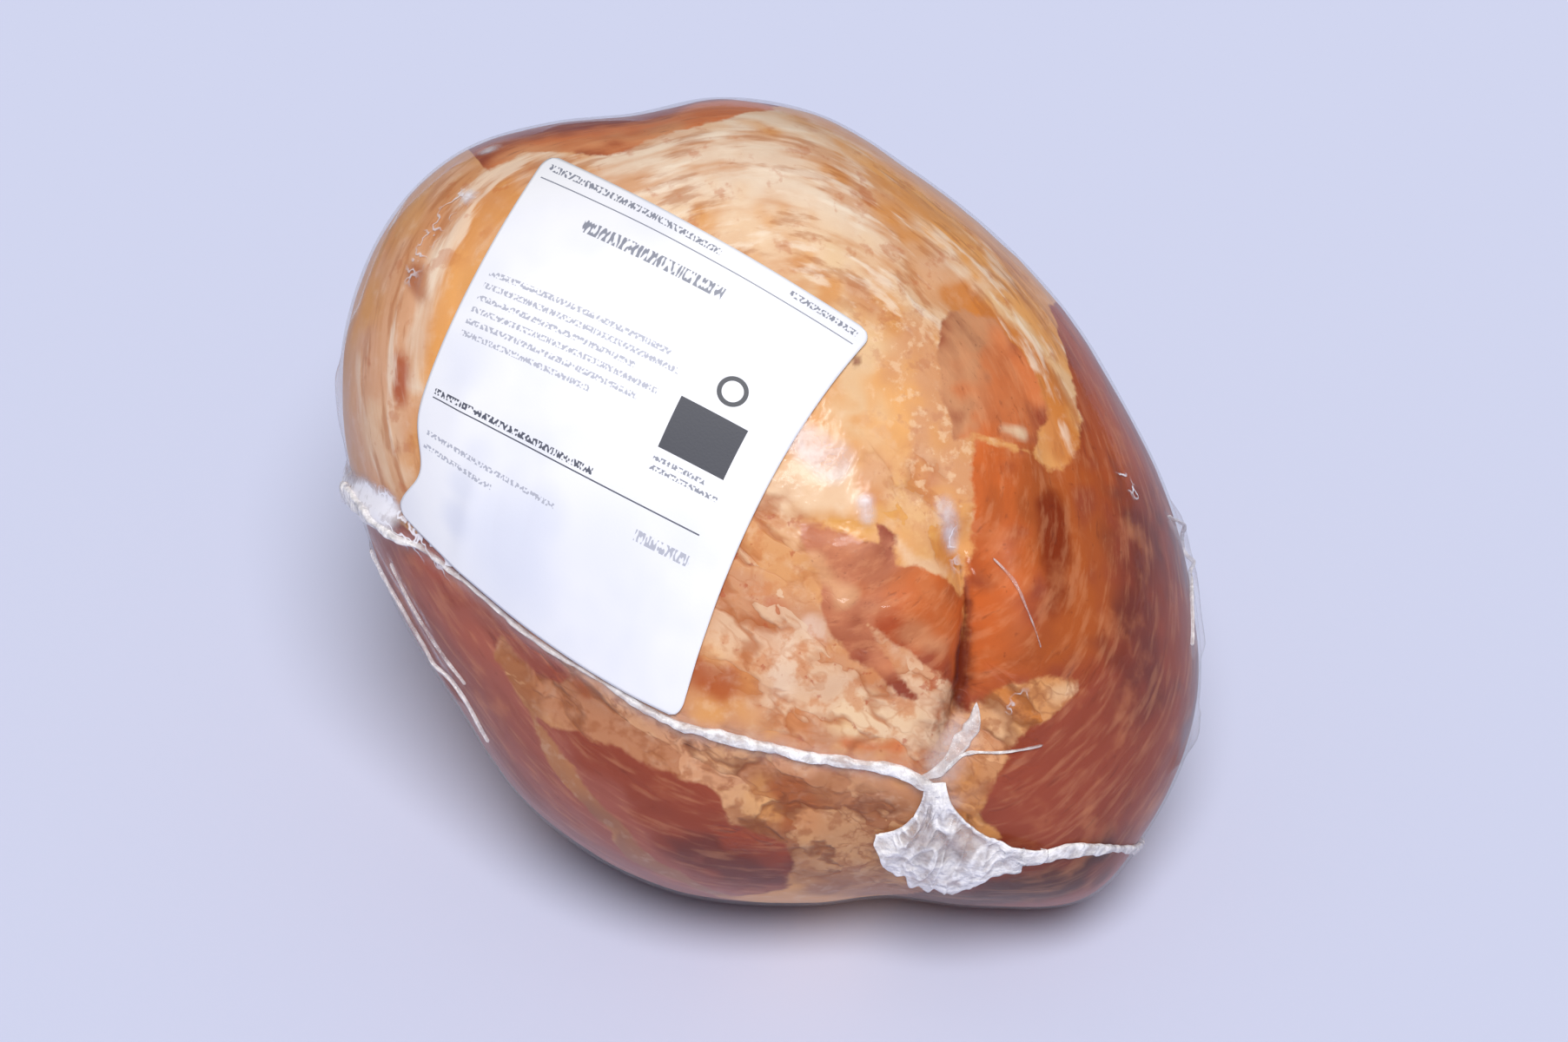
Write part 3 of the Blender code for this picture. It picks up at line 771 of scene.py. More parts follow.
@dataclass
class Meat:
    """The cured joint itself: a body on an even grid, with its colours painted on by place."""

    form: HamForm
    finish: SmokedPork = field(default_factory=SmokedPork)
    cells: int = 128
    inset: float = 0.3
    rest_lift: float = 0.3
    grain_radius: float = 75.0
    grain_stretch: float = 6.0
    lobe_slope: float = math.radians(-36.0)
    lobe_stretch: float = 1.9

    lean_loops: tuple[Path, ...] = (
        # The lean in the middle of the face
        ((6.5, -4.5), (12, -4.5), (17.5, -7), (21, -7.5), (20.5, -3.5), (23.5, -6), (24.5, -11.5),
         (30, -12.5), (35, -15), (39.5, -19), (40, -27), (40, -34), (38.5, -39), (35.5, -35.5),
         (31, -31.5), (26, -27.5), (21.5, -24.5), (18.5, -23), (21.5, -28.5), (26, -34), (27.5, -37),
         (24.5, -36), (20.5, -33), (16, -30), (12.5, -25.5), (9.5, -19.5), (9.5, -13), (7, -9)),
        # The shoulder of lean by the upper fold
        ((33, 36), (37.5, 38.5), (43.5, 35.5), (48, 30), (52.5, 22.5), (54, 17), (50.5, 10.5),
         (38.5, 13.5), (35.5, 12.5), (33, 20), (32, 28.5)),
        # The big muscle at the right, on round the side
        ((38.5, 13.5), (45.5, 11), (51, 9.5), (54.5, 6.5), (57.5, 7.5), (60, 16), (58, 24), (55.7, 32),
         (53.5, 38.5), (58, 40, -4), (66, 28, -12), (73, 12, -16), (79, 0, -30), (76, -38, -30),
         (58, -60, -26), (30, -80, -14), (18, -78), (33, -73), (40, -68), (43.5, -64), (40, -60),
         (42.5, -54), (45.5, -49), (46.5, -45), (49, -42.5), (53.5, -40), (58, -36), (57.5, -33.5),
         (52, -33), (46, -34), (43, -38), (40, -42), (39, -40), (40, -31),
         (40.5, -21), (40, -15), (41, -8), (39, -2), (38.5, 5.5)),
        # The dark spindle of lean at the lower left
        ((-45, -41), (-41.5, -43), (-37, -44), (-30.5, -46), (-25, -49), (-17, -52), (-12, -53.5),
         (-9, -55.5), (-7.5, -60.5), (-4.5, -62), (3, -65), (4.5, -68), (3, -73.5), (-7.5, -75),
         (-17.5, -70), (-22.5, -67), (-27.5, -61.5), (-33, -56.5), (-39.5, -48)),
        # A band of lean along the top of the outline
        ((-54, 64), (-48, 67.5), (-38, 68), (-31, 67), (-22, 70.5), (-10, 73.5), (0, 75.5), (4, 78, -8),
         (-4, 76, -18), (-13, 74, -22), (-22, 74, -16), (-31, 72, -24), (-44, 68, -22), (-57, 66, -8)),
        # A dark patch between the label and the tan band below the seal
        ((-53, -21.5), (-48, -24.5), (-42, -28.5), (-38.5, -33), (-41, -35), (-46, -33), (-50, -29),
         (-53, -25)),
        # The outer lean along the lower left side, on round the back
        ((-79, -1), (-73.6, -2.5), (-66, -6), (-58.5, -13), (-52, -18), (-48, -21), (-52, -25), (-54, -29),
         (-49.5, -35), (-46.5, -40.5), (-44.5, -45.5), (-42.5, -50), (-38.5, -54.5), (-31, -61.5),
         (-27.5, -67.5), (-17.5, -72), (-8, -75.5), (8, -72, -30), (-30, -60, -35), (-62, -35, -30),
         (-76, -6, -22)),
    )

    # Tints of the fat, from the lowest coat up, with painted shade under the flap and on the underside
    fat_dabs: tuple[Dab, ...] = (
        Dab(Tint.CREAM, ((-31, 62), (-10, 66), (12, 60), (30, 50)), 16, 9),
        Dab(Tint.PALE, ((-14, 50), (12, 48), (34, 38)), 9, 8),
        Dab(Tint.AMBER, ((26, 60), (44, 48), (56, 30)), 12, 8),
        Dab(Tint.HONEY, ((12, 36), (18, 26), (20, 16)), 8, 6),
        Dab(Tint.AMBER, ((26, 20), (26, 8)), 6, 5, 0.8),
        Dab(Tint.CARAMEL, ((18, 6), (28, 4)), 7, 5),
        Dab(Tint.GOLD, ((26, 0), (31, -7)), 5, 3),
        Dab(Tint.PALE, ((22, -4), (27, -11), (34, -13)), 0.8, 0.8, 0.8),
        Dab(Tint.TOFFEE, ((33, -7), (35, -11)), 2.0, 1.5, 0.6),
        Dab(Tint.PEACH, ((27, 33), (33, 20), (35.5, 6)), 4.5, 3.5),
        Dab(Tint.TOFFEE, ((37, 40), (46, 33.5), (53, 24), (57, 12)), 4.2, 2),
        Dab(Tint.HONEY, ((42, 40), (51, 32), (57, 24), (60, 17)), 1.8, 1.2, 0.8),
        Dab(Tint.TAN, ((-8, -10), (-1, -24), (8, -37), (28, -40)), 14, 7),
        Dab(Tint.CARAMEL, ((-2, -7), (3, -13)), 5, 3, 0.6),
        Dab(Tint.PALE, ((0, 4), (8, 3), (13.5, 2.5)), 5.0, 1.8, 0.9),
        Dab(Tint.TOFFEE, ((20, 7), (20, 1)), 2.4, 1.6, 0.8),
        # Painted shadow: a thin dark line under the edge of the flap
        Dab(Tint.RUST, ((5, -4.2), (12, -4), (17, -6)), 0.5, 0.5, 0.8),
        Dab(Tint.TERRACOTTA, ((28, 6), (30, 2)), 2.0, 1.6, 0.5),
        Dab(Tint.GOLD, ((12, -4), (19, -5), (20.5, -2)), 1.7, 0.8),
        Dab(Tint.BLUSH, ((1.5, -28), (3, -34)), 4.2, 1.6),
        Dab(Tint.BLUSH, ((8, -24), (8.5, -26)), 2.2, 1.0),
        Dab(Tint.TERRACOTTA, ((0, -19), (1.5, -20)), 1.9, 1.0),
        Dab(Tint.TERRACOTTA, ((-2.5, -23.5), (-1, -27)), 2.2, 1.4),
        Dab(Tint.TOFFEE, ((-6, -30), (-5.5, -35)), 3.0, 2.0),
        Dab(Tint.RUST, ((-13, -32), (-9, -36)), 3.0, 2.0),
        Dab(Tint.HONEY, ((17, -41), (23, -42.5)), 5.0, 2.0),
        Dab(Tint.BRICK, ((14.5, -46), (24.5, -46.5)), 1.4, 1.0),
        Dab(Tint.TAN, ((-51, -28), (-38, -38), (-25, -44), (-12, -49), (4, -54), (20, -59)), 10, 4),
        Dab(Tint.CRUMB, ((-52, -32), (-47, -40), (-40, -50), (-33, -58)), 4.5, 2),
        Dab(Tint.CRUST, ((-32, -59), (-26, -66), (-14, -73)), 5, 3),
        Dab(Tint.CRUMB, ((8, -60), (24, -64)), 11, 6, 0.8),
        Dab(Tint.CRUST, ((2, -66), (16, -72), (34, -76)), 8, 5, 0.9),
        # Painted shade over the fat on the underside
        Dab(Tint.CRUST, ((-30, -79, -62), (40, -79, -62)), 38, 16, 0.9),
        Dab(Tint.RUST, ((-37, -35), (-36, -36)), 1.8, 1.0),
        Dab(Tint.CARAMEL, ((-1.5, -54.5), (0.5, -58.5)), 3.2, 1.6),
        Dab(Tint.CLAY, ((4, -54.5), (6.5, -61.5)), 3.2, 1.8),
        Dab(Tint.TOFFEE, ((43, -37), (54, -35)), 6, 2.5),
        Dab(Tint.PALE, ((54, -35.5), (57.5, -34.5)), 1.8, 1.2, 0.8),
        Dab(Tint.PALE, ((44.5, -41.5), (45.5, -44.5)), 1.7, 1.0, 0.8),
        Dab(Tint.PALE, ((39.5, -55), (43, -50.5)), 2.2, 1.4, 0.8),
        Dab(Tint.PALE, ((31, -46), (33, -44)), 1.8, 1.2, 0.7),
        Dab(Tint.TOFFEE, ((42, -44), (40, -55)), 5, 3.0, 0.6),
        Dab(Tint.BISQUE, ((-58, 62), (-68, 46), (-75, 25), (-76, 8)), 10, 5),
        Dab(Tint.PALE, ((-76, 16), (-73, 5)), 5, 3, 0.7),
        Dab(Tint.CREAM, ((-58, 59), (-62.5, 52), (-65, 43.5), (-67.5, 34.5), (-68.5, 23.5)), 2.0, 1.2),
        Dab(Tint.AMBER, ((-56, 57), (-62.5, 38), (-65, 25)), 2.4, 1.6, 0.8),
        Dab(Tint.EMBER, ((-71.5, 27), (-71.5, 22)), 1.8, 1.4, 0.8),
        Dab(Tint.WINE, ((-68, 44), (-67, 40)), 1.6, 1.4, 0.7),
        Dab(Tint.CHESTNUT, ((-65, 19), (-65, 16)), 1.2, 0.8),
        Dab(Tint.TERRACOTTA, ((15.5, 42), (20, 38.5)), 1.8, 1.6, 0.6),
        Dab(Tint.SAND, ((-58, 61), (-52, 66)), 3.5, 2.5),
        Dab(Tint.EMBER, ((-33, 70.5), (-28, 68.5)), 1.3, 0.8, 0.8),
        Dab(Tint.UMBER, ((-16, -46),), 0.9, 0.5),
        Dab(Tint.UMBER, ((16.5, 27.5),), 0.8, 0.5),
        Dab(Tint.SAND, ((-20, 50, -60), (-30, -10, -60)), 26, 18),
        Dab(Tint.PALE, ((20, 60, -40), (40, 0, -55)), 14, 12, 0.7),
        Dab(Tint.PEACH, ((-60, 10, -40), (-10, -30, -60), (40, -40, -50)), 14, 10, 0.7),
    )

    # Tints of the lean, from the lowest coat up, with painted shade by the crease, along the bottom and on
    # the underside, and a painted sheen and glint
    lean_dabs: tuple[Dab, ...] = (
        Dab(Tint.TERRACOTTA, ((12, -10), (20, -18)), 12, 5),
        Dab(Tint.ORANGE, ((29, -17), (34, -22)), 6, 4, 0.8),
        # Painted shade on the lean beside the crease, over meat that is darker there
        Dab(Tint.WINE, ((33, -29.5), (38, -35)), 3.5, 2.5, 0.8),
        Dab(Tint.PEACH, ((7.5, -11), (14, -18)), 1.7, 1.1),
        Dab(Tint.EMBER, ((23, -24), (26, -26)), 2.2, 1.4, 0.8),
        Dab(Tint.PEACH, ((40, 34), (37, 22), (38, 15)), 7, 5, 0.8),
        Dab(Tint.BRICK, ((48, 24), (46, 14)), 8, 5),
        Dab(Tint.RUST, ((58, 32), (64, 20), (66, 6)), 9, 6),
        Dab(Tint.RUST, ((57, 26), (60, 18)), 3.5, 2.5, 0.9),
        Dab(Tint.COPPER, ((45, 8), (44, -4), (43, -26)), 8, 6),
        Dab(Tint.CLAY, ((54, 4), (60, -18), (54, -26)), 8, 6),
        Dab(Tint.CHESTNUT, ((54.5, -1), (54.5, -11), (53, -19)), 2.2, 2.0, 0.85),
        Dab(Tint.PLUM, ((72, -6), (71, -20), (70, -34)), 8, 6),
        # Greyish mauve on the right rim: dark meat with a painted lilac sheen over it
        Dab(Tint.MAUVE_SHEEN, ((77, -12, 8), (77, -34, 8)), 8, 6, 0.8),
        Dab(Tint.WINE, ((58, -46), (52, -58)), 12, 6, 0.8),
        Dab(Tint.PEACH, ((27, -25), (33, -27.5)), 1.4, 1.4, 0.5),
        # Painted shade along the bottom edge, over lean that is darker there too
        Dab(Tint.DUSK, ((18, -80), (40, -76), (62, -68)), 8, 5, 0.9),
        # Painted shade over the lean on the underside
        Dab(Tint.CLARET, ((-30, -79, -62), (40, -79, -62)), 42, 12),
        Dab(Tint.WINE, ((-38, -46), (-22, -58), (-8, -66)), 11, 5),
        Dab(Tint.CLARET, ((-16, -66), (0, -71)), 6, 4, 0.9),
        Dab(Tint.ROSE, ((-74, -6), (-62, -22), (-50, -40), (-36, -58), (-20, -73)), 12, 6),
        Dab(Tint.EMBER, ((-69, -8), (-64, -13)), 3.0, 2.0, 0.5),
        Dab(Tint.BRICK, ((-50, 67), (-31, 70.5), (-15, 74), (-3, 77)), 7, 4),
        Dab(Tint.PEACH, ((-52, 67), (-40, 68), (-20, 72)), 3, 3, 0.7),
        Dab(Tint.DUSK, ((79, -43, 4), (76, -49, 4)), 2.4, 1.6),
        # Painted glint: a small cream fleck on the lean
        Dab(Tint.PALE, ((45, 14.5), (49, 13.5)), 1.2, 0.9),
    )

    fields: tuple[tuple[str, tuple[Patch, ...]], ...] = (
        ("streaked", (
            Patch(((-40, 66), (-14, 62), (14, 56), (40, 42), (56, 26)), 20, 8),
            Patch(((-58, 60), (-68, 46), (-75, 25), (-74, 8)), 10, 4),
            Patch(((-40, 50, -50), (0, 60, -40), (50, 20, -40)), 34, 16, 0.8),
        )),
        ("lobed", (
            Patch(((-6, -8), (0, -24), (10, -36), (30, -42)), 12, 5),
            Patch(((26, 6), (31, -4)), 7, 4, 0.6),
            Patch(((-50, 0, -50), (-10, -40, -50), (30, -30, -50)), 22, 14, 0.7),
        )),
        ("crumbly", (
            Patch(((-48, -30), (-30, -42), (-6, -52), (18, -62)), 8, 4),
            Patch(((4, -62), (34, -72)), 12, 6),
            Patch(((42, -39), (54, -36)), 6, 3, 0.9),
            Patch(((40, -42), (40, -56)), 6, 4, 0.9),
        )),
        ("speckled", (
            Patch(((24, 33), (31, 20), (34, 6)), 9, 4),
        )),
    )
    crease_path: Path = ((39.6, -13), (40.6, -20), (40.2, -26), (39.4, -31), (39.0, -36), (38.6, -41))
    # Painted shade in the crease: half width in mm and strength along each span of its path
    crease_shade_width: tuple[float, ...] = (0.4, 0.7, 1.3, 2.0, 1.6)
    crease_shade_share: tuple[float, ...] = (0.65, 0.85, 1.0, 1.0, 0.85)
    flap_line: Path = ((4, -3.5), (12, -3.5), (18, -5.5))
    grain_pole: Place = (5.0, 10.0)
    hollows: tuple[Patch, ...] = (
        Patch(((-78, -5, -3), (-72, -17, -3), (-60, -36, -3), (-50, -50, -3)), 3.0, 5.0, 1.1),
        Patch(((-82, 26, -3), (-78, 38, -3), (-70, 52, -3), (-58, 65, -3)), 2.0, 4.0, 0.9),
    )
    crease_depth: float = 1.4
    crease_reach: float = 1.8
    flap_depth: float = 0.7
    flap_reach: float = 1.6

    # Noises by size, height and seed: the bare surface, and how the edges of dabs wander
    surface_noise: Octaves = ((9.0, 0.16, 3), (4.0, 0.09, 4))
    dab_waver: Octaves = ((6.0, 1.1, 5), (2.6, 0.7, 6))

    # Lean on the sides that the face hides: sizes, depths and drifts in mm
    deepest_lean: float = 8.0
    far_outside: float = 30.0
    hidden_lean_size: float = 38.0
    hidden_lean_depth: float = 16.0
    hidden_lean_bias: float = 0.05
    hidden_drift_size: float = 26.0
    hidden_drift: float = 15.0
    edge_bends: tuple[tuple[float, float], ...] = ((19.0, 11.0), (8.0, 5.0), (3.5, 2.2))

    def fine_relief(self, directions: np.ndarray) -> np.ndarray:
        """Height in mm that the bare meat adds: a cut crease, a step under the flap, and noise.

        Args:
            directions: Unit directions of the grid.

        Returns:
            A height for each direction.
        """
        places = directions * self.grain_radius
        crease = self.form.distance(directions, self.form.directions_of(self.crease_path))
        flap = self.form.distance(directions, self.form.directions_of(self.flap_line))
        height = rough(places, self.surface_noise)
        height -= self.crease_depth * np.exp(-((crease / self.crease_reach) ** 2))
        for hollow in self.hollows:
            height -= felt(self.form, directions, hollow, 0.0)
        return height - self.flap_depth * np.exp(-((flap / self.flap_reach) ** 2))

    def lean_depth(self, directions: np.ndarray) -> np.ndarray:
        """Depth in mm inside the lean: the deepest of its loops, or of noise on hidden sides.

        The loops keep to their places on the face. Behind it, the places that are tested
        wander with noise, so that the loops' straight far ends come out ragged.

        Args:
            directions: Unit directions of the grid.

        Returns:
            A signed depth for each direction.
        """
        places = directions * self.grain_radius
        bend = np.zeros((len(directions), 3))
        for size, reach in self.edge_bends:
            bend += reach * np.column_stack([noise(places, size, seed) for seed in (15, 16, 17)])
        bent = unit(places + ease(-directions[:, 2], 0.0, 0.25)[:, None] * bend)
        deepest = np.full(len(directions), -self.far_outside)
        for loop in self.lean_loops:
            deepest = np.maximum(deepest, self.form.depth_inside(bent, loop))
        drift = np.column_stack([noise(places, self.hidden_drift_size, seed) for seed in (12, 13, 14)])
        hidden = noise(places + self.hidden_drift * drift, self.hidden_lean_size, 11) - self.hidden_lean_bias
        behind = ease(-directions[:, 2], 0.25, 0.5)
        hidden = hidden * self.hidden_lean_depth - self.far_outside * (1 - behind)
        return np.clip(np.maximum(deepest, hidden), -self.deepest_lean, self.deepest_lean)

    def coat(self, directions: np.ndarray, base: Tint, dabs: tuple[Dab, ...]) -> np.ndarray:
        """Paints dabs over a base tint, each mixed in by its share at the direction.

        Args:
            directions: Unit directions of the grid.
            base: The tint under all dabs.
            dabs: The dabs, from the lowest up.

        Returns:
            A linear colour for each direction.
        """
        waver = rough(directions * self.grain_radius, self.dab_waver)
        colours = np.tile(base.light, (len(directions), 1))
        for dab in dabs:
            share = felt(self.form, directions, dab, waver)[:, None]
            colours = colours * (1 - share) + dab.tint.light * share
        return colours

    def grain(self, directions: np.ndarray) -> np.ndarray:
        """Coordinates in mm that run slowly round the grain's pole and fast away from it."""
        pole = self.form.directions_of((self.grain_pole,))[0]
        aside = unit(np.cross([0.0, 1.0, 0.0], pole))
        turn = np.arctan2(directions @ np.cross(pole, aside), directions @ aside)
        off = np.arccos(np.clip(directions @ pole, -1, 1))
        around = self.grain_radius / self.grain_stretch
        return np.column_stack([around * np.cos(turn), around * np.sin(turn), self.grain_radius * off])

    def strand(self, directions: np.ndarray) -> np.ndarray:
        """Coordinates in mm that run slowly along the lobes of fat and fast across them."""
        u, v, w = (directions * self.grain_radius).T
        along = u * math.cos(self.lobe_slope) + v * math.sin(self.lobe_slope)
        aside = v * math.cos(self.lobe_slope) - u * math.sin(self.lobe_slope)
        return np.column_stack([along / self.lobe_stretch, aside, w])

    def dress(self, piece: bpy.types.Object, directions: np.ndarray) -> None:
        """Stores the tints and fields that the finish reads on the meat's vertices."""
        waver = noise(directions * self.grain_radius, 7.0, 7)
        store(piece, "fat_tint", self.coat(directions, Tint.CARAMEL, self.fat_dabs))
        store(piece, "lean_tint", self.coat(directions, Tint.WINE, self.lean_dabs))
        store(piece, "lean_depth", self.lean_depth(directions))
        store(piece, "grain", self.grain(directions))
        store(piece, "strand", self.strand(directions))
        for name, patches in self.fields:
            shares = [felt(self.form, directions, patch, waver) for patch in patches]
            store(piece, name, np.max(shares, axis=0))
        # Painted shade in the crease: a dark field along its path, wider further down
        path = self.form.directions_of(self.crease_path)
        shares = []
        for i, (half_width, share) in enumerate(zip(self.crease_shade_width, self.crease_shade_share)):
            away = self.form.distance(directions, path[i:i + 2])
            shares.append(share * np.exp(-((away / (half_width + 0.6)) ** 2)))
        store(piece, "crease", np.max(shares, axis=0))

    def build(self) -> bpy.types.Object:
        """Makes the meat: directions of a cube sphere, sent out to the surface less an inset."""
        directions, faces = cube_sphere(self.cells)
        points = self.form.surface(directions, self.fine_relief(directions) - self.inset)
        points[:, 2] += self.rest_lift * np.exp(-points[:, 2] / self.rest_lift)
        piece = make_piece("ham_meat", points, faces, self.finish.make())
        self.dress(piece, directions)
        return piece


@dataclass(frozen=True)
class ShrinkFilm:
    """Finish of the bag: clear multilayer shrink film, glossy, drawn tight by hot water.

    It shows as sharp reflections and turns cloudy white where it is sealed or crumpled. The same
    white also paints glints and a reflection in a few places.
    """

    name: str = "clear_shrink_film"
    cloud: str = "#F3F1F9"
    roughness: float = 0.09
    cloud_roughness: float = 0.3
    head_on: float = 0.015
    edge_on: float = 0.5
    ripple: float = 0.15
    ripple_size: float = 5.0
    clouding: float = 0.28
    clouding_size: float = 3.0
    clouding_step: tuple[float, float] = (0.36, 0.62)
    pucker_size: float = 3.6
    pucker_width: float = 0.04
    refraction: float = 1.49
    glare_power: float = 5.0

    def make(self) -> bpy.types.Material:
        """Builds the material: mirror gloss by angle over clear, with white where the haze field and the
        puckers call for it, both of which also paint glints.

        Returns:
            The material.
        """
        recipe = Recipe(self.name)
        place = recipe.add("ShaderNodeTexCoord").outputs["Object"]
        bump = recipe.bump(recipe.noise(place, self.ripple_size * MM, 3.0, 0.55), MM, self.ripple)
        slant = recipe.add("ShaderNodeLayerWeight", {"Blend": 0.5, "Normal": bump}).outputs["Facing"]
        glare = recipe.math("POWER", slant, self.glare_power)
        mirror = recipe.math("MULTIPLY_ADD", glare, self.edge_on - self.head_on, self.head_on)
        clear = recipe.add("ShaderNodeBsdfTransparent").outputs[0]
        gloss = recipe.add("ShaderNodeBsdfGlossy", {"Roughness": self.roughness, "Normal": bump}).outputs[0]
        film = recipe.add("ShaderNodeMixShader", {0: mirror, 1: clear, 2: gloss}).outputs[0]

        mottle = recipe.noise(place, self.clouding_size * MM, 4.0, 0.6)
        broken = recipe.mapped(mottle, *self.clouding_step, 1 - self.clouding, 1 + self.clouding, eased=False)
        cloud_and_glint = recipe.math("MULTIPLY", recipe.attribute("haze_and_glints"), broken, clamp=True)
        # Fine white puckers, which paint glints as well as crinkles
        pucker_glint = recipe.math("SUBTRACT", recipe.noise(place, self.pucker_size * MM), 0.5)
        pucker_glint = recipe.mapped(recipe.math("ABSOLUTE", pucker_glint), self.pucker_width, 0.3 * self.pucker_width)
        cloud_and_glint = recipe.math("MULTIPLY_ADD", pucker_glint, recipe.attribute("puckered_and_glinting"), cloud_and_glint, clamp=True)
        white = recipe.add("ShaderNodeBsdfPrincipled", {
            "Base Color": linear(self.cloud), "Roughness": self.cloud_roughness,
            "IOR": self.refraction, "Normal": bump,
        }).outputs[0]
        return recipe.finish(recipe.add("ShaderNodeMixShader", {0: cloud_and_glint, 1: film, 2: white}).outputs[0])


@dataclass(frozen=True)
class Weld:
    """A welded or sharply creased edge of film.

    It has a path, a width in mm at each place of it, a height in mm and a share of white.
    """

    name: str
    path: Path
    widths: tuple[float, ...]
    height: float
    cloud: float
    seed: int


@dataclass
class ShrinkBag:
    """The clear bag: its skin, the fin of its end seal with branches, and its gathered tail."""

    form: HamForm
    finish: ShrinkFilm = field(default_factory=ShrinkFilm)
    cells: int = 128
    gap: float = 0.25

    # Where the film stands off the meat: its path, half width, soft edge and height in mm
    tents: tuple[Patch, ...] = (
        Patch(((-60, 64), (-72, 52), (-78, 37), (-82, 26), (-82, 12)), 1.0, 3.5, 1.6),
        Patch(((-82, 6), (-78, 1), (-70, -5)), 2.0, 3.0, 2.2),
        Patch(((-76, -8), (-70, -20), (-60, -36)), 0.6, 2.2, 1.4),
        Patch(((-40, 72), (-28, 73)), 1.0, 3.0, 1.0),
        Patch(((77, -2), (82, -14), (82, -26)), 1.5, 3.0, 1.6),
        Patch(((82, -40), (77, -49)), 0.8, 2.5, 1.8),
        Patch(((37, -16), (36.5, -34)), 2.0, 3.0, 1.4),
        Patch(((30, -53.5), (33, -56)), 3.0, 3.0, 1.2),
    )

    # Cloudy places, with painted glints and a painted reflection among them: path, half width, soft edge and
    # share of white
    clouds_and_glints: tuple[Patch, ...] = (
        Patch(((-82, 5), (-77, 1), (-72.5, -1.5)), 3.2, 2.2, 0.95),
        Patch(((-70, 58), (-74, 49.5), (-79, 37), (-82, 29), (-82.5, 20), (-81.5, 10)), 0.5, 0.7, 0.55),
        Patch(((-76.5, -6), (-70, -17.5), (-62.5, -31)), 0.4, 0.6, 0.45),
        Patch(((-73, -10), (-66, -22), (-61, -33)), 0.3, 0.5, 0.30),
        # Painted lilac reflection on the film beside the label
        Patch(((4, 14), (12, 8)), 3.4, 1.4, 0.34),
        Patch(((33, -0.5), (34.5, -4), (36, -8)), 1.3, 1.7, 0.52),
        # Painted glint on the film over the flap's edge
        Patch(((18, 0.5), (18.5, -2.5)), 0.9, 1.4, 0.58),
        # Painted glints on the film at the top left
        Patch(((-54, 68),), 1.2, 1.2, 0.6),
        Patch(((-58, 59),), 1.0, 0.9, 0.7),
        Patch(((-48, 72), (-29.5, 73.5)), 0.5, 0.7, 0.35),
        Patch(((76, -3), (80.5, -14), (80.5, -27)), 1.2, 1.5, 0.25),
        Patch(((33, -50), (38, -46.5)), 2.4, 2.0, 0.30),
    )

    # Places with fine white puckers, which paint glints as well as crinkles
    puckers_and_glints: tuple[Patch, ...] = (
        Patch(((46, -39), (47.5, -36)), 0.4, 0.7, 0.6),
        Patch(((67, 5.5), (69.5, 2)), 0.9, 0.9, 0.95),
        Patch(((-80, 3), (-74, 0), (-62, -11)), 3.0, 2.0, 0.8),
        Patch(((-60, 59), (-66, 50), (-69, 44)), 1.4, 1.2, 0.6),
        Patch(((35, -5), (37, -12)), 1.0, 1.2, 0.5),
    )
    seal_path: Path = (
        (-81.0, 9.0, -14.0), (-82.0, 4.3), (-77.3, 0.7), (-73.4, -3.2), (-66.9, -8.0), (-58.5, -14.7),
        (-45.6, -25.6), (-31.4, -34.3), (-20.0, -40.8), (-6.3, -44.6), (10.4, -48.6), (30.6, -53.4),
        (34.0, -56.0),
    )
    seal_widths: tuple[float, ...] = (3.0, 4.2, 4.4, 2.2, 0.9, 0.6, 0.6, 0.6, 1.5, 2.3, 2.0, 2.4, 2.6)
    welds: tuple[Weld, ...] = (
        Weld("bag_seal_fin", seal_path, seal_widths, 1.0, 0.92, 41),
        Weld("bag_upper_branch",
             ((28.5, -51.8), (34.5, -50.2), (38.5, -47.5), (40.6, -43.5), (41.2, -39.5)),
             (2.0, 2.6, 3.4, 3.0, 1.6), 0.6, 0.60, 51),
        Weld("bag_side_branch", ((33, -51.4), (38.5, -49.4), (44.5, -47.4), (51.5, -45.5)),
             (1.3, 0.9, 0.6, 0.4), 0.5, 0.9, 61),
        Weld("bag_hem_ridge",
             ((48.0, -68.2), (54.0, -66.6), (63.0, -65.8), (70.0, -65.6), (72.0, -64.0, -14.0)),
             (3.2, 2.8, 1.9, 1.5, 1.2), 0.7, 0.85, 71),
        Weld("bag_left_rim",
             ((-81.5, 30, -2), (-77, 43, -2), (-68, 56, -2), (-61, 63, -2), (-53, 69, -2)),
             (0.5, 0.7, 0.8, 0.9, 0.6), 0.4, 0.6, 81),
        Weld("bag_left_pleat", ((-76, -8), (-72, -17), (-67, -26), (-60, -35), (-54, -45.5)),
             (0.5, 0.7, 0.6, 0.6, 0.4), 0.4, 0.5, 91),
        Weld("bag_inner_pleat", ((-73, -11), (-69, -19), (-63.5, -28), (-58.5, -34.5)),
             (0.4, 0.5, 0.5, 0.4), 0.3, 0.34, 101),
        Weld("bag_right_pleat", ((76, -2), (79.5, -9), (80.5, -18), (80.5, -27)), (0.4, 0.7, 0.6, 0.4),
             0.4, 0.55, 111),
        Weld("bag_middle_pleat", ((43.4, -10.4), (46.4, -14.6), (48.4, -19.6), (50.8, -27)),
             (0.3, 0.7, 0.4, 0.2), 0.35, 0.25, 121),
    )
    fin_sides: int = 14
    fin_steps_per_mm: float = 2.6

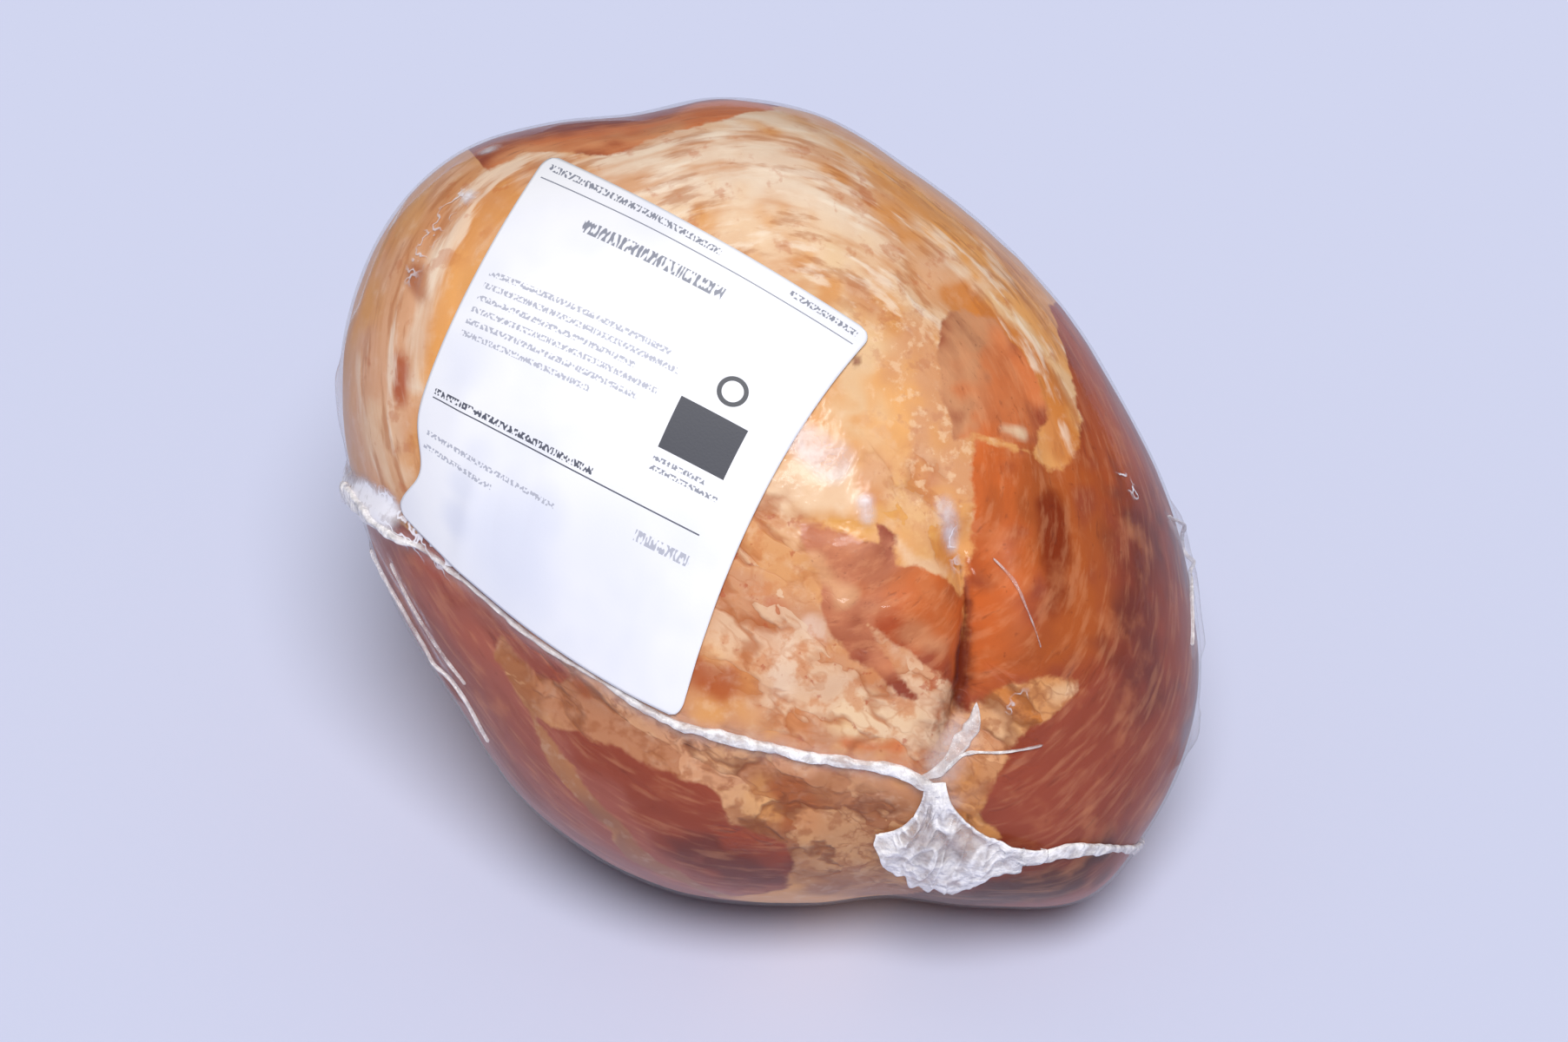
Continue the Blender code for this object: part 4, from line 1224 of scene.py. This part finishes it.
    # The tail: its neck, waist and hem on the face, then its size laid flat, in mm
    neck: Path = (
        (29.2, -52.4), (30.2, -52.4), (31.0, -52.4), (31.8, -52.5), (32.6, -52.6), (33.4, -52.8),
    )
    waist: Path = (
        (26.2, -60.4), (28.5, -61.8), (31.0, -62.6), (33.6, -62.8), (36.6, -62.4), (39.8, -61.6),
    )
    hem: Path = (
        (18.2, -62.5), (23.0, -69.6), (31.0, -73.4), (37.0, -72.8), (46.0, -70.2), (54.4, -65.6),
    )
    neck_width: float = 4.0
    hem_width: float = 38.0
    tail_length: float = 18.0
    tail_columns: int = 181
    tail_rows: int = 91
    tail_lift: tuple[float, float] = (0.7, 2.0)
    tail_thickness: float = 0.25
    folds: float = 3.3
    fold_height: float = 0.5
    crumple_heights: tuple[float, float] = (0.50, 0.32)

    def skin_lift(self, directions: np.ndarray) -> np.ndarray:
        """Height in mm of the skin over the form: the gap plus the tents."""
        waver = noise(directions * self.form.depth, 5.0, 21)
        lift = np.full(len(directions), self.gap)
        for tent in self.tents:
            lift += felt(self.form, directions, tent, 0.3 * waver)
        return lift

    def skin(self) -> bpy.types.Object:
        """Makes the bag's skin: the ham's form plus a gap, with tents and small puckers."""
        directions, faces = cube_sphere(self.cells)
        places = directions * self.form.depth
        waver = noise(places, 5.0, 21)
        seal = self.form.distance(directions, self.form.smooth_path(self.seal_path, 40))
        lift = self.skin_lift(directions)
        lift += 0.25 * np.exp(-((seal / 2.2) ** 2)) * (1 + 0.6 * noise(places, 2.6, 22))
        piece = make_piece("bag_film", self.form.surface(directions, lift), faces, self.finish.make())
        # White haze along the seal and in cloudy places, which also hold painted glints and a painted
        # reflection
        haze_and_glints = 0.16 * np.exp(-((seal / 2.0) ** 2))
        for cloud in self.clouds_and_glints:
            haze_and_glints = np.maximum(haze_and_glints, felt(self.form, directions, cloud, 0.5 * waver))
        store(piece, "haze_and_glints", haze_and_glints)
        puckered_and_glinting = [felt(self.form, directions, pucker_glint, 0.5 * waver) for pucker_glint in self.puckers_and_glints]
        store(piece, "puckered_and_glinting", np.max(puckered_and_glinting, axis=0))
        return piece

    def fin(self, weld: Weld, finish: bpy.types.Material) -> bpy.types.Object:
        """Makes a crinkled fin: a flat ribbon with rounded edges carried along a weld's path.

        The ribbon's width and height swell and pinch with noise along the path, its crest
        leans from side to side, and both ends close to a point.

        Args:
            weld: The weld that it shows.
            finish: Material of the fin.

        Returns:
            The fin.
        """
        rough = self.form.smooth_path(weld.path, 60)
        points, _ = self.form.with_normals(rough)
        length = np.linalg.norm(np.diff(points, axis=0), axis=1).sum()
        count = int(length * self.fin_steps_per_mm)
        directions = self.form.smooth_path(weld.path, count)
        points, normals = self.form.with_normals(directions)
        sides = unit(np.cross(normals, unit(np.gradient(points, axis=0))))
        along = np.linspace(0, length, count)
        named = self.form.directions_of(weld.path)
        knots = np.concatenate([[0.0], np.cumsum(np.linalg.norm(np.diff(named, axis=0), axis=1))])
        wide = np.interp(along / length, knots / knots[-1], weld.widths)
        wave = [noise(np.column_stack([along, 0 * along, 0 * along + 3 * k]), 1.7, weld.seed + k)
                for k in range(4)]
        slow = noise(np.column_stack([along, 0 * along, 0 * along]), 7.0, weld.seed)
        rise = np.clip(np.minimum(along, length - along) / (1.5 * wide), 0, 1) ** 0.6
        width = wide * (1 + 0.22 * wave[0] + 0.3 * slow) * rise
        height = weld.height * np.minimum(1, 0.35 + 0.35 * wide) * (1 + 0.45 * wave[1]) * rise
        turn = np.linspace(0, 2 * math.pi, self.fin_sides, endpoint=False)
        edge = np.sign(np.cos(turn)) * np.abs(np.cos(turn)) ** 0.7
        up = np.maximum(np.sin(turn), 0) ** 0.5
        down = np.maximum(-np.sin(turn), 0)
        crimp = 1 + 0.35 * np.cos(3 * turn)[None, :] * wave[3][:, None]
        across = (edge[None, :] * 0.5 + 0.2 * wave[2][:, None] * up[None, :]) * width[:, None]
        lift = up[None, :] * height[:, None] * crimp - 0.6 * down[None, :]
        lift += self.skin_lift(directions)[:, None]
        grid = points[:, None] + sides[:, None] * across[..., None] + normals[:, None] * lift[..., None]
        ends = grid.mean(axis=1)[[0, -1]]
        vertices = np.vstack([ends[:1], grid[1:-1].reshape(-1, 3), ends[1:]])
        rings = count - 2
        body = grid_faces(rings, self.fin_sides, around=True) + 1
        first = np.arange(self.fin_sides)
        last = len(vertices) - 1
        low = 1 + (rings - 1) * self.fin_sides
        beside = (first + 1) % self.fin_sides
        start = np.column_stack([0 * first, 1 + first, 1 + beside])
        end = np.column_stack([0 * first + last, low + beside, low + first])
        piece = make_piece(weld.name, vertices, body.tolist() + start.tolist() + end.tolist(), finish)
        rim = 0.7 + 0.3 * np.abs(edge)[None, :]
        haze_and_glints = weld.cloud * rim * (1 + 0.25 * wave[3][:, None]) + 0.12 * wave[1][:, None]
        haze_and_glints = haze_and_glints * np.clip(0.35 + 0.45 * wide / weld.widths[0] * 2, 0.5, 1)[:, None]
        haze_and_glints = np.clip(haze_and_glints, 0.15, 0.97)[1:-1]
        store(piece, "haze_and_glints", np.concatenate([[0.5], haze_and_glints.ravel(), [0.5]]))
        return piece

    def tail(self, finish: bpy.types.Material) -> bpy.types.Object:
        """Makes the gathered tail: film let down from its neck, over its waist to its hem.

        Its height is a lift that grows downwards, plus a few folds whose phase drifts with
        noise, plus sharp ridges where smooth noise crosses its middle, as in crumpled film.

        Returns:
            The tail, as a thin closed shell.
        """
        rows, columns = self.tail_rows, self.tail_columns
        down = np.repeat(np.linspace(0, 1, rows), columns)
        share = np.tile(np.linspace(0, 1, columns), rows)
        knots = np.linspace(0, 1, len(self.hem))
        curves = [cubic(knots, np.array(path), share) for path in (self.neck, self.waist, self.hem)]
        span = self.neck_width + (self.hem_width - self.neck_width) * down
        flat = np.column_stack([share * span, down * self.tail_length, 0 * share])
        torn = 1 - 0.05 * (1 + noise(flat * [1, 0, 1], 1.6, 31)) * ease(down, 0.4, 1.0)
        places = parabola((down * torn)[:, None], 0.5, curves)
        points, normals = self.form.with_normals(self.form.toward(places))
        bow = 0.35 + 0.65 * np.sin(share * math.pi) ** 0.5
        lift = (self.tail_lift[0] + (self.tail_lift[1] - self.tail_lift[0]) * down) * bow
        fold = np.sin(share * self.folds * 2 * math.pi + 2.6 * noise(flat, 8.0, 32))
        coarse = 1 - 2.2 * np.abs(noise(flat, 4.6, 33))
        fine = 1 - 2.2 * np.abs(noise(flat, 2.2, 34))
        coarse_height, fine_height = self.crumple_heights
        crumple = coarse_height * np.maximum(coarse, 0) ** 2 + fine_height * np.maximum(fine, 0) ** 2
        lift += (self.fold_height * fold + crumple) * np.minimum(down * 2.5, 1)
        under = self.skin_lift(self.form.toward(parabola(down[:, None], 0.5, curves)))
        lift = np.maximum(lift, 0.5) + under
        outer = points + normals * lift[:, None]
        inner = outer - normals * self.tail_thickness
        piece = make_piece("bag_tail", np.vstack([outer, inner]), shell_faces(rows, columns), finish)
        inward = np.minimum((1 - down) * self.tail_length, np.minimum(share, 1 - share) * span)
        rim = 0.9 * (1 - ease(inward, 0.5, 1.9))
        neck = 0.85 * (1 - ease(down, 0.2, 0.5))
        band = 0.6 * ease(down, 0.55, 0.8)
        # Crests of the crumples turn white: crumpled film, with painted glints on the crests
        ridge = np.maximum(ease(coarse, 0.72, 0.95), 0.8 * ease(fine, 0.78, 0.97))
        haze_and_glints = np.maximum(np.maximum(rim, neck), band) + 0.5 * ridge
        store(piece, "haze_and_glints", np.tile(np.clip(haze_and_glints, 0.30, 0.95), 2))
        return piece

    def build(self) -> list[bpy.types.Object]:
        """Makes every piece of the bag: its skin, its welds and creases, and its tail."""
        gathered = ShrinkFilm(
            name="crumpled_shrink_film", cloud="#FBF7F8", ripple=0.8, ripple_size=1.6, clouding=0.4,
        ).make()
        return [self.skin(), *(self.fin(weld, gathered) for weld in self.welds), self.tail(gathered)]


@dataclass(frozen=True)
class PrintBar:
    """A row of plain strokes in place of words, or a solid bar where the stroke is zero.

    Places are in mm from the label's top left corner. Ink covers from left to right and half
    a height above and below down.
    """

    left: float
    right: float
    down: float
    height: float
    stroke: float
    ink: str


@dataclass(frozen=True)
class LabelPaper:
    """Finish of the label: white thermal paper with a satin coat, printed with plain grey bars, with painted
    shade in soft patches.
    """

    size: tuple[float, float] = (68.0, 80.0)
    paper: str = "#F1F1F7"
    shade: str = "#DDE0F0"
    roughness: float = 0.5
    ring_place: tuple[float, float] = (54.0, 24.6)
    ring_radius: float = 2.5
    ring_width: float = 0.45
    ring_ink: str = "#3E4048"
    faint: str = "#B4B6C4"
    grey: str = "#8A8D9B"
    dark: str = "#555866"
    cloud_size: float = 16.0
    fibre_size: float = 0.5
    fibre_height: float = 0.05
    painted_label_shades: tuple[tuple[float, float, float, float], ...] = (
        # Painted shade in soft patches, mostly low on the paper: place across and down, reach in mm, and
        # share of shade
        (25.0, 70.0, 17.0, 0.8), (13.0, 71.0, 5.0, 0.7), (12.5, 64.0, 5.0, 0.6), (14.0, 57.0, 5.0, 0.4),
        (30.0, 60.0, 7.0, 0.5), (44.0, 60.0, 14.0, 0.4), (6.0, 40.0, 9.0, 0.4),
    )
    block: str = "#30323F"
    paragraph_lengths: tuple[float, ...] = (38.0, 41.0, 33.0, 39.0, 36.0, 27.0)
    paragraph_top: float = 23.5
    paragraph_pitch: float = 2.55

    def bars(self) -> list[PrintBar]:
        """Returns every row of print, with the paragraph's rows by a loop."""
        rows = [
            PrintBar(2.0, 39.0, 2.0, 1.2, 0.5, self.grey),
            PrintBar(53.0, 66.0, 2.0, 1.2, 0.5, self.grey),
            PrintBar(1.5, 66.5, 4.2, 0.22, 0.0, self.grey),
            PrintBar(14.0, 43.5, 9.0, 2.4, 0.6, self.grey),
            PrintBar(2.0, 36.0, 49.6, 1.3, 0.5, self.dark),
            PrintBar(2.0, 60.0, 51.0, 0.28, 0.0, self.dark),
            PrintBar(3.0, 31.0, 58.5, 1.0, 0.5, self.faint),
            PrintBar(3.0, 18.0, 61.4, 1.0, 0.5, self.faint),
            PrintBar(46.0, 60.0, 35.0, 10.4, 0.0, self.block),
            PrintBar(46.0, 57.0, 42.2, 0.9, 0.5, self.grey),
            PrintBar(46.0, 60.5, 44.0, 0.9, 0.5, self.grey),
            PrintBar(48.0, 60.0, 56.0, 2.0, 0.6, self.faint),
        ]
        for i, length in enumerate(self.paragraph_lengths):
            down = self.paragraph_top + i * self.paragraph_pitch
            rows.append(PrintBar(2.5, 2.5 + length, down, 1.1, 0.5, self.faint))
        return rows

    def make(self) -> bpy.types.Material:
        """Builds the material: paper, soft grey clouding, painted shade in patches, then each row of ink and
        a ring.

        Returns:
            The material.
        """
        recipe = Recipe("white_label_paper")
        chart = recipe.add("ShaderNodeUVMap", uv_map="label_chart").outputs[0]
        spot = recipe.vector("MULTIPLY", chart, (*self.size, 1.0))
        across, down, _ = recipe.add("ShaderNodeSeparateXYZ", {0: spot}).outputs
        cloud = recipe.mapped(recipe.noise(spot, self.cloud_size), 0.45, 0.75, to_high=0.5, eased=False)
        colour = recipe.mixed(cloud, linear(self.paper), linear(self.shade))
        for *place, reach, share in self.painted_label_shades:
            off = recipe.vector("DISTANCE", spot, (*place, 0.0), output="Value")
            label_shade = recipe.mapped(off, reach, 0.2 * reach, to_high=share)
            colour = recipe.mixed(label_shade, colour, linear(self.shade))
        for bar in self.bars():
            middle, half_length = (bar.left + bar.right) / 2, (bar.right - bar.left) / 2
            beside = recipe.math("COMPARE", across, middle, half_length)
            level = recipe.math("COMPARE", down, bar.down, bar.height / 2)
            inked = recipe.math("MULTIPLY", beside, level)
            if bar.stroke:
                strokes = recipe.vector("MULTIPLY", spot, (1 / bar.stroke, 1.5 / bar.height, 0.0))
                strokes = recipe.noise(strokes, 1.0, detail=0.0, noise_dimensions="2D")
                strokes = recipe.mapped(strokes, 0.46, 0.54, eased=False)
                inked = recipe.math("MULTIPLY", inked, strokes)
            colour = recipe.mixed(inked, colour, linear(bar.ink))
        off = recipe.vector("DISTANCE", spot, (*self.ring_place, 0.0), output="Value")
        ring = recipe.math("COMPARE", off, self.ring_radius, self.ring_width)
        colour = recipe.mixed(ring, colour, linear(self.ring_ink))
        fibre = recipe.noise(spot, self.fibre_size, 3.0)
        shader = recipe.add("ShaderNodeBsdfPrincipled", {
            "Base Color": colour, "Roughness": self.roughness, "IOR": 1.5,
            "Normal": recipe.bump(fibre, self.fibre_height * MM, 0.3),
        })
        return recipe.finish(shader.outputs[0])


@dataclass
class PaperLabel:
    """The paper label, stuck over the bag and bent with it: left, middle and right columns."""

    form: HamForm
    finish: LabelPaper = field(default_factory=LabelPaper)
    columns: tuple[Path, ...] = (
        ((-42.6, 66.8), (-64.8, 25.4), (-71.0, -0.8)),
        ((-13.0, 52.1), (-34.7, 10.4), (-44.8, -24.7)),
        ((19.5, 32.4), (-4.7, -5.0), (-17.2, -40.6)),
    )
    middle: float = 0.58
    corner: float = 0.035
    tuck_at: float = 0.84
    tuck_reach: float = 0.09
    tuck_depth: float = 0.05
    gap: float = 0.55
    thickness: float = 0.18
    across: int = 140
    down: int = 164
    creases: tuple = (
        # Place across, place down, half length down, half width across, and height in mm
        (0.22, 0.86, 0.14, 0.035, 0.45),
        (0.34, 0.78, 0.16, 0.050, -0.35),
        (0.12, 0.62, 0.12, 0.040, 0.30),
        (0.62, 0.20, 0.20, 0.120, 0.25),
    )

    def chart(self) -> tuple[np.ndarray, np.ndarray]:
        """Shares across and down the label, drawn in along the rows at its rounded corners."""
        t = np.repeat(np.linspace(0, 1, self.down + 1), self.across + 1)
        s = np.tile(np.linspace(0, 1, self.across + 1), self.down + 1)
        into = np.maximum(self.corner - np.minimum(t, 1 - t), 0)
        inset = self.corner - np.sqrt(self.corner**2 - into**2)
        tuck = self.tuck_depth * np.exp(-(((t - self.tuck_at) / self.tuck_reach) ** 2)) * (1 - s) ** 3
        return inset + s * (1 - 2 * inset) + tuck, t

    def build(self) -> bpy.types.Object:
        """Makes the label: a grid on parabolas over the face, lifted off the film, as a shell."""
        s, t = self.chart()
        edges = [
            parabola(t[:, None], self.middle, [np.array(place) for place in column])
            for column in self.columns
        ]
        places = parabola(s[:, None], 0.5, edges)
        points, normals = self.form.with_normals(self.form.toward(places))
        lift = self.gap + 0.10 * noise(np.column_stack([s * 68, t * 80, 0 * s]), 14.0, 81)
        for at_s, at_t, reach, width, height in self.creases:
            lift += height * np.exp(-(((s - at_s) / width) ** 2) - ((t - at_t) / reach) ** 2)
        outer = points + normals * (np.maximum(lift, self.gap - 0.1) + self.thickness)[:, None]
        inner = outer - normals * self.thickness
        faces = shell_faces(self.down + 1, self.across + 1)
        piece = make_piece("paper_label", np.vstack([outer, inner]), faces, self.finish.make())
        chart = piece.data.uv_layers.new(name="label_chart")
        corners = np.empty(len(piece.data.loops), np.int32)
        piece.data.loops.foreach_get("vertex_index", corners)
        chart.data.foreach_set("uv", np.tile(np.column_stack([s, t]), (2, 1))[corners].ravel())
        return piece


@dataclass
class Studio:
    """Pale floor, soft light and the camera square on to the ham's face."""

    form: HamForm
    floor_size: float = 3000.0
    floor_gap: float = 0.05
    floor_colour: str = "#D6DBF5"
    sky_colour: str = "#FBFBFF"
    sky_strength: float = 0.22
    sun_strength: float = 2.85
    sun_angle: float = math.radians(25.0)
    sun_from: Place = (0.04, -0.71, 1.0)
    camera_shift: Place = (2.4, -3.0)
    frame_width: float = 300.8
    sensor_width: float = 36.0

    def floor(self) -> None:
        """Makes the floor: one big square just under the ham."""
        recipe = Recipe("pale_floor")
        shader = recipe.add("ShaderNodeBsdfPrincipled", {
            "Base Color": linear(self.floor_colour), "Roughness": 0.9, "Specular IOR Level": 0.1,
        })
        corners = np.array([(-1, -1), (1, -1), (1, 1), (-1, 1)]) * self.floor_size / 2
        points = np.column_stack([corners, np.full(4, -self.floor_gap)])
        make_piece("floor", points, np.array([[0, 1, 2, 3]]), recipe.finish(shader.outputs[0]))

    def light(self) -> None:
        """Lights the scene by a pale sky and one large soft sun from above the camera."""
        world = bpy.data.worlds.new("pale_sky")
        world.use_nodes = True
        sky = world.node_tree.nodes["Background"]
        sky.inputs["Color"].default_value = linear(self.sky_colour)
        sky.inputs["Strength"].default_value = self.sky_strength
        bpy.context.scene.world = world
        lamp = bpy.data.lights.new("soft_sun", "SUN")
        lamp.energy = self.sun_strength
        lamp.angle = self.sun_angle
        sun = bpy.data.objects.new("soft_sun", lamp)
        x, y, z = self.sun_from
        sun.rotation_euler = (math.atan2(math.hypot(x, y), z), 0.0, math.atan2(y, x) + math.pi / 2)
        bpy.context.scene.collection.objects.link(sun)

    def camera(self) -> None:
        """Places the camera a metre in front of the face, and sets how the image is shown."""
        scene = bpy.context.scene
        lens = bpy.data.cameras.new("camera")
        lens.sensor_fit = "HORIZONTAL"
        lens.sensor_width = self.sensor_width
        lens.lens = self.sensor_width * self.form.view_distance / self.frame_width
        lens.clip_end = 20.0
        camera = bpy.data.objects.new("camera", lens)
        sine, cosine = math.sin(self.form.tilt), math.cos(self.form.tilt)
        u, v = self.camera_shift
        w = self.form.view_distance
        place = np.array([u, v * sine - w * cosine, v * cosine + w * sine]) + np.array(self.form.centre)
        camera.location = (place * MM).tolist()
        camera.rotation_euler = (math.pi / 2 - self.form.tilt, 0.0, 0.0)
        scene.collection.objects.link(camera)
        scene.camera = camera
        scene.view_settings.view_transform = "Standard"

    def build(self) -> None:
        """Makes the floor, the light and the camera."""
        self.floor()
        self.light()
        self.camera()


def main() -> None:
    """Builds the ham from the inside out, then the stage."""
    logging.basicConfig(level=logging.INFO, format="%(name)s: %(message)s")
    form = HamForm()
    ride(Meat(form).build(), "smoked_meat", "ham_in_film")
    for piece in ShrinkBag(form).build():
        ride(piece, "clear_film")
    ride(PaperLabel(form).build(), "label_paper", "label")
    Studio(form).build()


if __name__ == "__main__":
    main()
